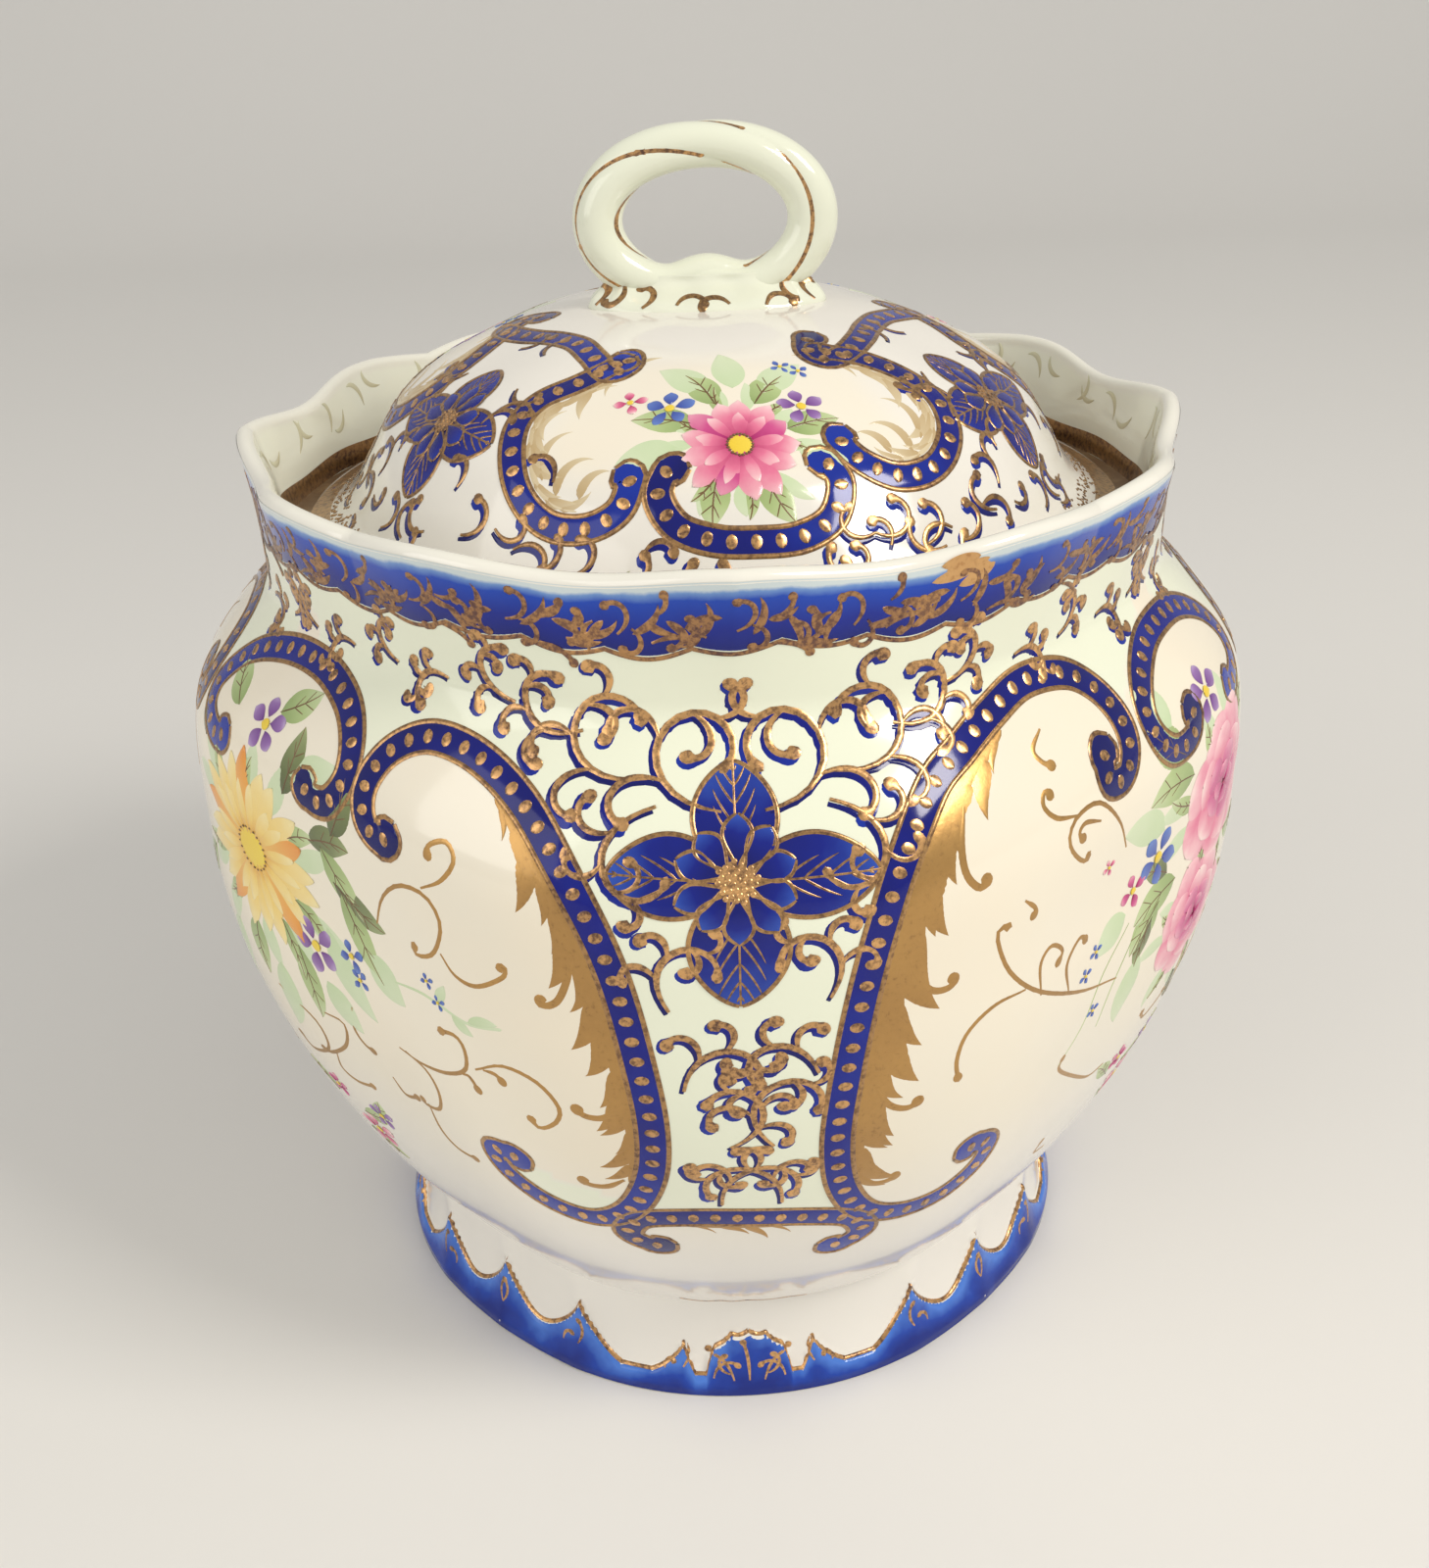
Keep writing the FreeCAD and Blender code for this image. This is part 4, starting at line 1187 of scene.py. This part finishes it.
# %% Right bouquet: the peonies
def peony_bouquet(at):
    """The bouquet of two peonies with leaves and small flowers."""
    leaves(wall, at, [(-4, 98, 170, 12, 30), (-6, 102, 150, 11, -20), (-5, 82, 190, 11, 20),
                      (-8, 80, 220, 9, 20), (8, 82, -10, 11, 20), (8, 98, 40, 11, 20)], 3.0, "leaf_green")
    leaves(wall, at, [(-9, 78, 240, 8, 30), (3, 60, -70, 9, 30), (-7, 84, 150, 7, 20)],
           2.0, "dark_green")
    leaves(wall, at, [(-9, 92, 150, 12, 30), (-10, 72, 250, 12, 30), (-15, 82, 200, 8, 20),
                      (-8, 107, 120, 9, 20), (10, 70, -50, 11, 20)],
           2.8, "pale_green", False)
    foliage(wall, (at + 4.0, 91.0), 13.0, 9, 40.0)
    foliage(wall, (at + 1.5, 71.0), 10.5, 8, 5.0)
    peony(wall, (at + 4.5, 92.0), 12.5, 10.0)
    peony(wall, (at + 1.5, 72.0), 10.5, 60.0)
    little_flowers(wall, at, (1.0, 107.6, 4.4, "violet"), (-9.5, 88.0, 4.6, "blue_wash", 5, 60.0),
                             (-14.0, 85.2, 3.0, "rose", 4), (-20.0, 92.5, 1.4, "pink", 4),
                             (-20.5, 79.5, 1.4, "blue_wash", 4), (-22.0, 76.5, 1.4, "blue_wash", 4),
                             (-18.5, 68.0, 1.4, "blue_wash", 4))
    stems = [[(-14.0, 80.0), (-18.0, 74.0), (-20.0, 66.0), (-23.0, 61.0)],
             [(-12.0, 78.0), (-15.0, 70.0), (-16.0, 63.0)]]
    brush("leaf_green", drawn(wall, [moved(stem, at) for stem in stems], 0.22, 0.22, lift=0.02, crown=0.07))


daisy_bouquet(-60.0)
low_spray(-60.0)
peony_bouquet(60.0)
low_spray(56.0)
daisy_bouquet(180.0, ("pink", "rose"), "blue_wash")
low_spray(180.0, "yellow")
for colour, lots in paint_lots.items():
    gather("bouquet_" + colour, lots, ENAMELS[colour])
paint_lots.clear()

# %% [markdown]
# ## The cobalt collar
# The outside of the collar is one sheet of cobalt. Its lower edge is a row of small
# waves with a gold line, and towards the rim the blue thins out to pale blue and then
# to bare white glaze. Mottled gold foliage scrolls over it.

# %% Sheets of colour between two edges
def sheet(name, surface, low, high, rows, body, material, lift=0.09, columns=960):
    """A thin skin of paint from a low edge to a high edge, all the way round."""
    turn = np.arange(columns) * 360.0 / columns
    share = np.linspace(0.0, 1.0, rows)[:, None]
    up = mix(low(turn)[None, :], high(turn)[None, :], share)
    over = lift * np.minimum(1.0, 6.0 * np.minimum(share + 0.02, 1.02 - share)) - 0.03
    points = on_surface(surface, np.broadcast_to(turn, up.shape), up, over + 0.0 * up)
    along = np.broadcast_to(share, up.shape)
    piece = make_piece(name, points, grid_faces(rows, columns, wrap_columns=True), {"along": along})
    finish_piece(piece, body, material)


def edge_line(surface, height, half, columns=1440, **how):
    """A painted line all the way round, at a height that changes with the turn."""
    turn = np.arange(columns + 1)[None, :] * 360.0 / columns
    return ribbons(surface, turn, height(turn), np.full(turn.shape, half), **how)


def collar_low(turn):
    """The lower edge of the collar's blue: small hanging waves that rise and fall a little."""
    waves = 1.2 * np.abs(np.cos(np.radians(20.0 * turn)))
    return 130.2 - waves + 0.5 * np.sin(np.radians(11.0 * turn + 30.0))


def collar_high(turn):
    """Just under the turn of the rim."""
    return 138.9 + 0.0 * turn


collar_blue, tree, shader = new_material("collar_cobalt", 0.10, coat=0.1)
shader.inputs["Specular IOR Level"].default_value = 0.35
height_share = scaled_sum(tree, noise(tree, 110.0, 5.0, 0.6), 0.20, mark_value(tree, "along"))
tree.links.new(ramp(tree, height_share,
                    [(0.0, (0.003, 0.006, 0.13)), (0.45, (0.004, 0.018, 0.27)), (0.84, (0.008, 0.06, 0.46)),
                     (0.95, (0.16, 0.30, 0.62)), (1.0, (0.62, 0.70, 0.72))]), shader.inputs["Base Color"])
ripple(tree, shader, 200.0)
sheet("collar_cobalt_sheet", wall, collar_low, collar_high, 14, "jar", collar_blue)

# %% Gold foliage on the collar
COLLAR_CURLS = [
    (0, 133.2, 20, 9, 210), (1.5, 133.4, 330, 7.5, -230), (5.5, 134.6, 350, 6.5, -190),
    (6.5, 131.6, 15, 6, 200), (9.5, 134.5, 200, 5, 170), (9, 132, 170, 4.5, -200),
    (3.5, 131.2, 10, 7, -60), (4, 135.2, 5, 5, 120), (8, 133.2, 45, 3.5, 160)]
COLLAR_LEAVES = [(1, 132.6, 25, 5.5, 70), (4.5, 134.4, 335, 5, -60), (7.5, 132.4, 20, 5.5, 80),
                 (10, 134.8, 200, 5, 60), (2.5, 134.9, 345, 4, 50), (6, 131, 5, 4.5, 40)]
shifts = np.arange(30) * 12.0
collar_rows = repeated(COLLAR_CURLS, shifts)
collar_rows[:, 1] += 0.5 * np.sin(collar_rows[:, 0] * 0.9) - 0.9
collar_rows[:, 3] *= 0.8
collar_rows[:, 2] += 25.0 * np.sin(collar_rows[:, 0] * 1.7)
leaf_rows = repeated(COLLAR_LEAVES, shifts + 0.6)
leaf_rows[:, 1] += 0.5 * np.cos(leaf_rows[:, 0] * 1.1) - 0.8
leaf_rows[:, 2] += 30.0 * np.sin(leaf_rows[:, 0] * 0.8)
mottled_gold = gold("mottled_gold", (0.50, 0.27, 0.11), (0.10, 0.05, 0.06), 0.55, 0.34)
gather("collar_gold", [curl_strokes(wall, collar_rows, 0.34, 0.62, lift=0.10, crown=0.11),
                       petal_strokes(wall, leaf_rows, 0.55, 0.7, 0.8, lift=0.09, crown=0.10),
                       edge_line(wall, lambda turn: collar_low(turn) - 0.1, 0.30, lift=0.06, crown=0.12)],
       mottled_gold, "jar")
stain = [(20.5, 136.2, 8, 7.5, 10), (22, 137.6, 355, 6.5, -12), (23.6, 134.8, 15, 5, 25),
         (21.4, 138.4, 2, 5, 0)]
rubbed = gold("rubbed_gold", (0.70, 0.42, 0.18), (0.46, 0.22, 0.08), 0.45, 0.4)
gather("rim_gold_patch", [petal_strokes(wall, stain, 1.0, 1.1, 0.6, lift=0.10, crown=0.05)],
       rubbed, "jar")

# %% Inside the collar: a gilt ring and faint comma strokes
def collar_inner(turn, height):
    """The collar's inside; turns run the other way, so that its normal points inwards."""
    height = np.asarray(height, float)
    return wall(-np.asarray(turn, float), height, WALL - 0.036 * (height - NECK_HEIGHT))


commas = repeated([(0.0, 133.6, 60, 6.0, 110), (4.6, 135.4, 215, 5.4, -120)], np.arange(36) * 10.0)
commas[:, 2] += 40.0 * np.sin(commas[:, 0])
commas[:, 1] += 0.8 * np.sin(0.11 * commas[:, 0])
faint = enamel("faint_gold_wash", [(0.0, (0.55, 0.50, 0.32)), (1.0, (0.66, 0.66, 0.48))], 0.2, 0.5)
gather("collar_commas", [petal_strokes(collar_inner, commas, 0.45, 1.2, 0.7, lift=0.05, crown=0.08)],
       faint, "jar")
gather("gallery_gilding", [edge_line(collar_inner, lambda turn: 127.6 + 0.3 * np.sin(0.3 * turn), 1.6,
                                     lift=0.06, crown=0.08)], line_gold, "jar")

# %% [markdown]
# ## The cobalt foot
# The thicker lower part of the foot is cobalt, a little lighter than the bands, with a
# gold line along its pointed edge and a gold shell in the middle of each lobe.

# %% Foot paint
foot_blue = enamel("foot_cobalt", [(0.1, (0.004, 0.02, 0.22)), (0.5, (0.008, 0.05, 0.38)),
                                   (0.95, (0.07, 0.20, 0.66))], 0.10, 1.3, 150.0)
sheet("foot_cobalt_sheet", foot, lambda turn: 0.25 + 0.0 * turn, blue_edge, 16, "jar",
      foot_blue, 0.10, 1440)
shell = [(2.4, 3, 75, 7.5, -70), (-2.4, 3, 105, 7.5, 70), (0, 3, 90, 7.5, 20), (5.6, 3.4, 100, 6, 150),
         (-5.6, 3.4, 80, 6, -150), (3, 4, 20, 5, 170), (-3, 4, 160, 5, -170)]
rib_curls = [(rib * side, 5.0, 90 + 30 * side, 5.0, -90 * side) for rib in RIB_TURNS for side in (1, -1)]
rib_curls += [((rib + 3.0) * side, 4.5, 90, 3.5, 140 * side) for rib in RIB_TURNS[:2] for side in (1, -1)]
QUARTERS = (0.0, 90.0, 180.0, 270.0)
foot_rows = repeated(shell + rib_curls, QUARTERS)
gather("foot_gold", [edge_line(foot, lambda turn: blue_edge(turn) + 0.1, 0.32, 2880, lift=0.06, crown=0.14),
                     curl_strokes(foot, foot_rows, 0.34, 0.62, lift=0.07, crown=0.12)],
       raised_gold, "jar")
lip = [(-10, 21.5), (-7, 19.8), (-4, 20.6), (-2.5, 19.4), (0, 20.4), (3, 19.2), (6, 20.2), (9, 19.4)]
gather("waist_gold", [drawn(wall, [lip], 0.4, 0.5, QUARTERS, 60, lift=0.03, crown=0.08)],
       raised_gold, "jar")

# %% [markdown]
# ## Painting the lid
# The lid has the same three parts as the jar: a bouquet framed by three bands in the
# middle of each third, and between the bouquets a cobalt flower under a small bracket.
# A place on the lid is its turn and how far it lies in from the lid's edge.

# %% The lid's bands
def on_lid(points):
    """Turn and radius, changed to turn and the reach in from a radius of 60."""
    return through([(turn, REACH_FROM - radius) for turn, radius in points])


LID_BANDS = [on_lid(points) for points in (
    [(-24, 25.8), (-28, 28.4), (-33.5, 32.6), (-39, 36.8), (-39.6, 41.4), (-35, 46.4),
     (-28.5, 48.8), (-21.6, 49), (-16.2, 47.6), (-15.2, 45.2), (-18, 44.2)],
    [(-5.6, 44.4), (-9, 44.4), (-10.4, 46.6), (-7.4, 48.8), (-2, 49.8), (4, 50), (10.6, 49.8),
     (16, 48.6), (18.4, 46.2), (16.6, 44.2), (13.6, 44.6)],
    [(26.6, 26.6), (32, 27.4), (39, 30.2), (44, 34.6), (46, 39.8), (43, 44.2), (36.6, 46.6),
     (28.8, 46.6), (23.2, 44.6), (21, 42), (23, 40.2)],
    [(38, 22.6), (31, 24.2), (27.6, 27), (31, 29.2), (38, 28.6), (48, 26.8), (60, 25),
     (73, 25), (84, 27.4), (92, 30), (96, 27.6), (90, 25.2)])]
LID_LEAVES = [(96.0, 10.5, 1.0), (184.0, 11.5, 1.0), (352.0, 12.0, 1.0), (272.0, 11.5, 1.1)]
blues, golds, beads = [], [], []
for third in THIRDS:
    bands = paint_bands(lid_face, [moved(line, third) for line in LID_BANDS], half=1.65, knob=1.3)
    flower = blue_flower(lid_face, (third + 61.5, 17.4), LID_LEAVES, 4.0, 9, 0.85)
    for kept, band_part, flower_part in zip((blues, golds, beads), bands, flower):
        kept += band_part + flower_part
gather("lid_cobalt", blues, cobalt, "lid")
gather("lid_gold_lines", golds, line_gold, "lid")
gather("lid_gold_drops", beads, raised_gold, "lid")

# %% The lid's sprigs and its stippled edge
LID_CURLS = [
    (22, 10, 200, 9, -220), (22, 10, 330, 11, 230), (24, 9, 60, 6, 180), (30, 8.5, 10, 9, 200),
    (27, 6, 170, 10, 190), (36, 8, 350, 9, 200), (42, 9.5, 30, 9, -200), (48, 10.5, 60, 8, 190),
    (50, 9, 320, 6, 200), (52, 13, 100, 8, -200), (50, 19, 100, 9, 170), (48, 24, 250, 8, -180),
    (73, 24, 290, 8, 200), (72, 18, 80, 8, -180), (74, 12, 60, 7, 190), (70, 8.5, 200, 9, -200),
    (78, 9, 10, 9, 200), (84, 10, 320, 8, 210), (88, 9, 40, 8, -190), (92, 14, 90, 7, 170),
    (90, 8, 350, 9, 160), (98, 8, 20, 8, 200), (104, 8, 330, 8, 200), (108, 9.5, 60, 6, -190),
    (58, 7.5, 20, 8, 190), (64, 7, 330, 7, 190), (-12, 8, 200, 6, 190), (-4, 6.5, 350, 8, 190),
    (6, 6, 20, 7, -190), (13, 6.5, 340, 8, 200), (55, 31, 30, 6, 160), (68, 31, 150, 6, -160),
    (-2, 7, 190, 7, -190), (18, 7.5, 20, 6, 200), (40, 6, 190, 8, -190), (46, 6.5, 350, 8, -170)]
other_side = repeated(LID_CURLS, (0.0,), True) + np.array([123.0, 0.0, 0.0, 0.0, 0.0])
lid_rows = np.vstack([repeated(LID_CURLS, THIRDS), repeated(other_side[10:26:2], THIRDS)])
lid_under = lid_rows + np.array([-0.3, -0.3, 0.0, 0.0, 0.0])
gather("lid_scroll_cobalt", [curl_strokes(lid_face, lid_under, 0.62, 1.05, lift=0.02, crown=0.09)],
       cobalt, "lid")
step = np.arange(1600)
stipple_reach = 4.6 + 1.9 * np.sin(step * 2.1) * np.sin(step * 0.07)
stipple = oval_strokes(lid_face, step * 0.225 + 2.0 * np.sin(step * 1.3), stipple_reach,
                       0.0, 0.26, 0.26, 0.04, 6, 5)
gather("lid_scroll_gold", [curl_strokes(lid_face, lid_rows, 0.40, 0.78, lift=0.07, crown=0.13), stipple],
       line_gold, "lid")
gather("lid_edge_gilding", [edge_line(lid_face, lambda turn: 1.9 + 0.3 * np.sin(0.13 * turn), 1.7, 720,
                                      lift=0.04, crown=0.07)], line_gold, "lid")
FEATHERS = [(-30, 14, 120, 9, -100), (-27, 13, 100, 8, -110), (-23, 13, 90, 6, -100),
            (-33, 16, 120, 9, -90), (-35.5, 19, 110, 8, -90), (-33, 23, 70, 8, -60),
            (-30, 27, 60, 7, -50), (-26, 31, 50, 6, -40), (36, 16, 60, 9, 100), (33, 15, 80, 8, 110),
            (29, 15.5, 90, 6, 100), (40, 19, 70, 9, 90), (41, 23, 90, 8, 80), (38, 27, 110, 8, 60),
            (34, 30, 130, 7, 50)]
tan_wash = enamel("tan_feather", [(0.0, (0.50, 0.36, 0.18)), (1.0, (0.72, 0.62, 0.42))], 0.2, 0.4)
shading = [petal_strokes(lid_face, repeated(FEATHERS, THIRDS), 0.75, 0.6, 0.9, lift=0.02, crown=0.08)]
for third in THIRDS:
    shading += fringe(lid_face, moved(LID_BANDS[0], third), 0.06, 0.76, 1.0, 1.9)
    shading += fringe(lid_face, moved(LID_BANDS[2], third), 0.06, 0.78, -1.0, 1.9)
gather("lid_feathers", shading, tan_wash, "lid")


# %% The lid's bouquets
def lid_bouquet(at, colours, little):
    """A daisy among leaves and small flowers, in the middle of one third of the lid."""
    leaves(lid_face, at, [(-5, 21, 160, 8.5, 30), (-1, 24, 110, 7.5, 30), (7, 24, 60, 7.5, -30),
                          (12, 20, 20, 7.5, -30), (-1, 15, 255, 7, 20), (6, 15, 290, 7.5, 20)],
           2.1, "leaf_green")
    leaves(lid_face, at, [(-2, 26, 130, 9, 30), (9, 26, 50, 9, -30), (-8, 18, 190, 8, 20),
                          (13, 17, 340, 7, 20), (3, 27, 90, 8, 20)], 2.2, "pale_green", False)
    foliage(lid_face, (at + 2.9, 18.5), 7.6, 9, 30.0)
    daisy(lid_face, (at + 2.9, 18.0), 7.8, colours, 13, 1.7, 1.5)
    little_flowers(lid_face, at, (16.5, 23.4, 3.2, "violet"), (-10.2, 23.8, 3.2, little),
                                 (-19.0, 25.0, 2.2, "pink", 4), (16.5, 31.0, 1.4, "blue_wash", 4),
                                 (20.5, 29.8, 1.4, "blue_wash", 4))


lid_bouquet(0.0, ("pink", "rose"), "blue_wash")
lid_bouquet(120.0, ("yellow", "orange"), "blue_wash")
lid_bouquet(240.0, ("pink", "rose"), "violet")
for colour, lots in paint_lots.items():
    gather("lid_bouquet_" + colour, lots, ENAMELS[colour], "lid")

# %% [markdown]
# ## Gilding on the loop
# The gilder ran a brush along the twisted grooves of the loop, and touched the leaves
# at its foot. The strokes are long, start thin and break off where the loop was worn.

# %% Loop strokes
def loop_face(turn, up):
    """The loop by degrees along it from its top, and by degrees round its section."""
    return loop_skin(np.radians(turn), np.radians(up))


def groove_line(groove, start, end):
    """Points along one twisted groove, between two angles along the loop."""
    turn = np.linspace(start, end, 14)
    return list(zip(turn, (360.0 * groove - np.degrees(5.0 * np.sin(np.radians(turn)))) / 3.0))


GROOVES = [groove_line(*stretch) for stretch in (
    (0, -150, -70), (0, -60, 20), (0, 40, 140), (1, -140, -40), (1, -20, 60), (1, 80, 150), (2, -150, -100),
    (2, -80, 0), (2, 10, 90), (2, 110, 160), (-1, -120, -30), (-1, 20, 110))]
gather("loop_gilding", [drawn(loop_face, GROOVES, 0.5, 0.6, lift=0.04, crown=0.06, steps=40)],
       raised_gold, "lid")


def pad_face(turn, up):
    """The pad by turn and by hundredths of its height, turned to face outwards."""
    return pad(np.asarray(turn, float), np.asarray(up, float) / 100.0)


PAD_CURLS = [(turn, start, way, 6.5, bend) for turn, start, way, bend in (
    (-70, 12.0, 60, 190), (-52, 70.0, 300, -190), (-34, 14.0, 40, 200), (-16, 20.0, 70, -200),
    (10, 20.0, 120, 200), (28, 14.0, 60, -190), (46, 70.0, 240, 190), (64, 12.0, 120, -190),
    (120, 16.0, 60, 190), (150, 20.0, 110, -190), (180, 16.0, 60, 200), (212, 20.0, 110, -200),
    (240, 14.0, 70, 190))]
gather("pad_gilding", [curl_strokes(pad_face, PAD_CURLS, 0.5, 0.7, lift=0.06, crown=0.10)],
       line_gold, "lid")

# %% [markdown]
# ## Floor, light and camera
# The jar stands on a plain pale floor that curves up behind it. One soft lamp from the
# upper right gives the glaze its highlight, a larger and weaker one fills the left,
# and the camera stands where the photographer stood: a little above, looking down.

# %% Floor and backdrop
def backdrop():
    """A floor that turns up behind the jar in a quarter circle."""
    radius, far, wide = 400.0, 900.0, 2600.0
    bend = np.linspace(0.0, 0.5 * math.pi, 24)
    along = np.concatenate([[-1400.0], far + radius * np.sin(bend), [far + radius]])
    up = np.concatenate([[0.0], radius * (1.0 - np.cos(bend)), [1800.0]])
    across = np.linspace(-wide, wide, 3)
    grid = np.stack(np.broadcast_arrays(across[None, :], along[:, None], up[:, None]), -1)
    piece = make_piece("pale_floor", grid, grid_faces(len(along), 3))
    material, tree, shader = new_material("pale_paper", 0.75, coat=0.0)
    shade = ramp(tree, noise(tree, 1.3, 2.0), [(0.0, (0.74, 0.73, 0.71)), (1.0, (0.80, 0.79, 0.77))])
    tree.links.new(shade, shader.inputs["Base Color"])
    piece.data.materials.append(material)


backdrop()


# %% Lamps and world
def soft_lamp(name, place, size, watts, colour=(1.0, 1.0, 1.0)):
    """A square lamp at a place in millimetres, turned to face the jar's middle."""
    data = bpy.data.lights.new(name, "AREA")
    data.size = size * MM
    data.energy = watts
    data.color = colour
    lamp = bpy.data.objects.new(name, data)
    lamp.location = Vector(place) * MM
    aim = Vector((0.0, 0.0, 90.0)) * MM - lamp.location
    lamp.rotation_euler = aim.to_track_quat("-Z", "Y").to_euler()
    bpy.context.scene.collection.objects.link(lamp)


soft_lamp("window_light", (620.0, -420.0, 760.0), 300.0, 5.4, (1.0, 0.95, 0.87))
soft_lamp("fill_light", (-800.0, -500.0, 500.0), 700.0, 2.6, (1.0, 0.97, 0.92))
world = bpy.data.worlds.new("plain_room")
bpy.context.scene.world = world
world.use_nodes = True
world.node_tree.nodes["Background"].inputs["Color"].default_value = (1.0, 0.98, 0.94, 1.0)
world.node_tree.nodes["Background"].inputs["Strength"].default_value = 0.60
bpy.context.scene.view_settings.view_transform = "Standard"

# %% Camera
CAMERA_PLACE = Vector((-9.0, -257.4, 209.7))
CAMERA_AIM = Vector((-0.9, 3.5, 75.8))
CAMERA_ROLL = -1.68
lens = bpy.data.cameras.new("photo_camera")
lens.lens = 40.5
lens.sensor_width = 36.0
lens.clip_start = 0.01
camera = bpy.data.objects.new("photo_camera", lens)
turned = (CAMERA_AIM - CAMERA_PLACE).to_track_quat("-Z", "Y").to_matrix().to_4x4()
camera.matrix_world = (Matrix.Translation(CAMERA_PLACE * MM) @ turned
                       @ Matrix.Rotation(math.radians(CAMERA_ROLL), 4, "Z"))
bpy.context.scene.collection.objects.link(camera)
bpy.context.scene.camera = camera
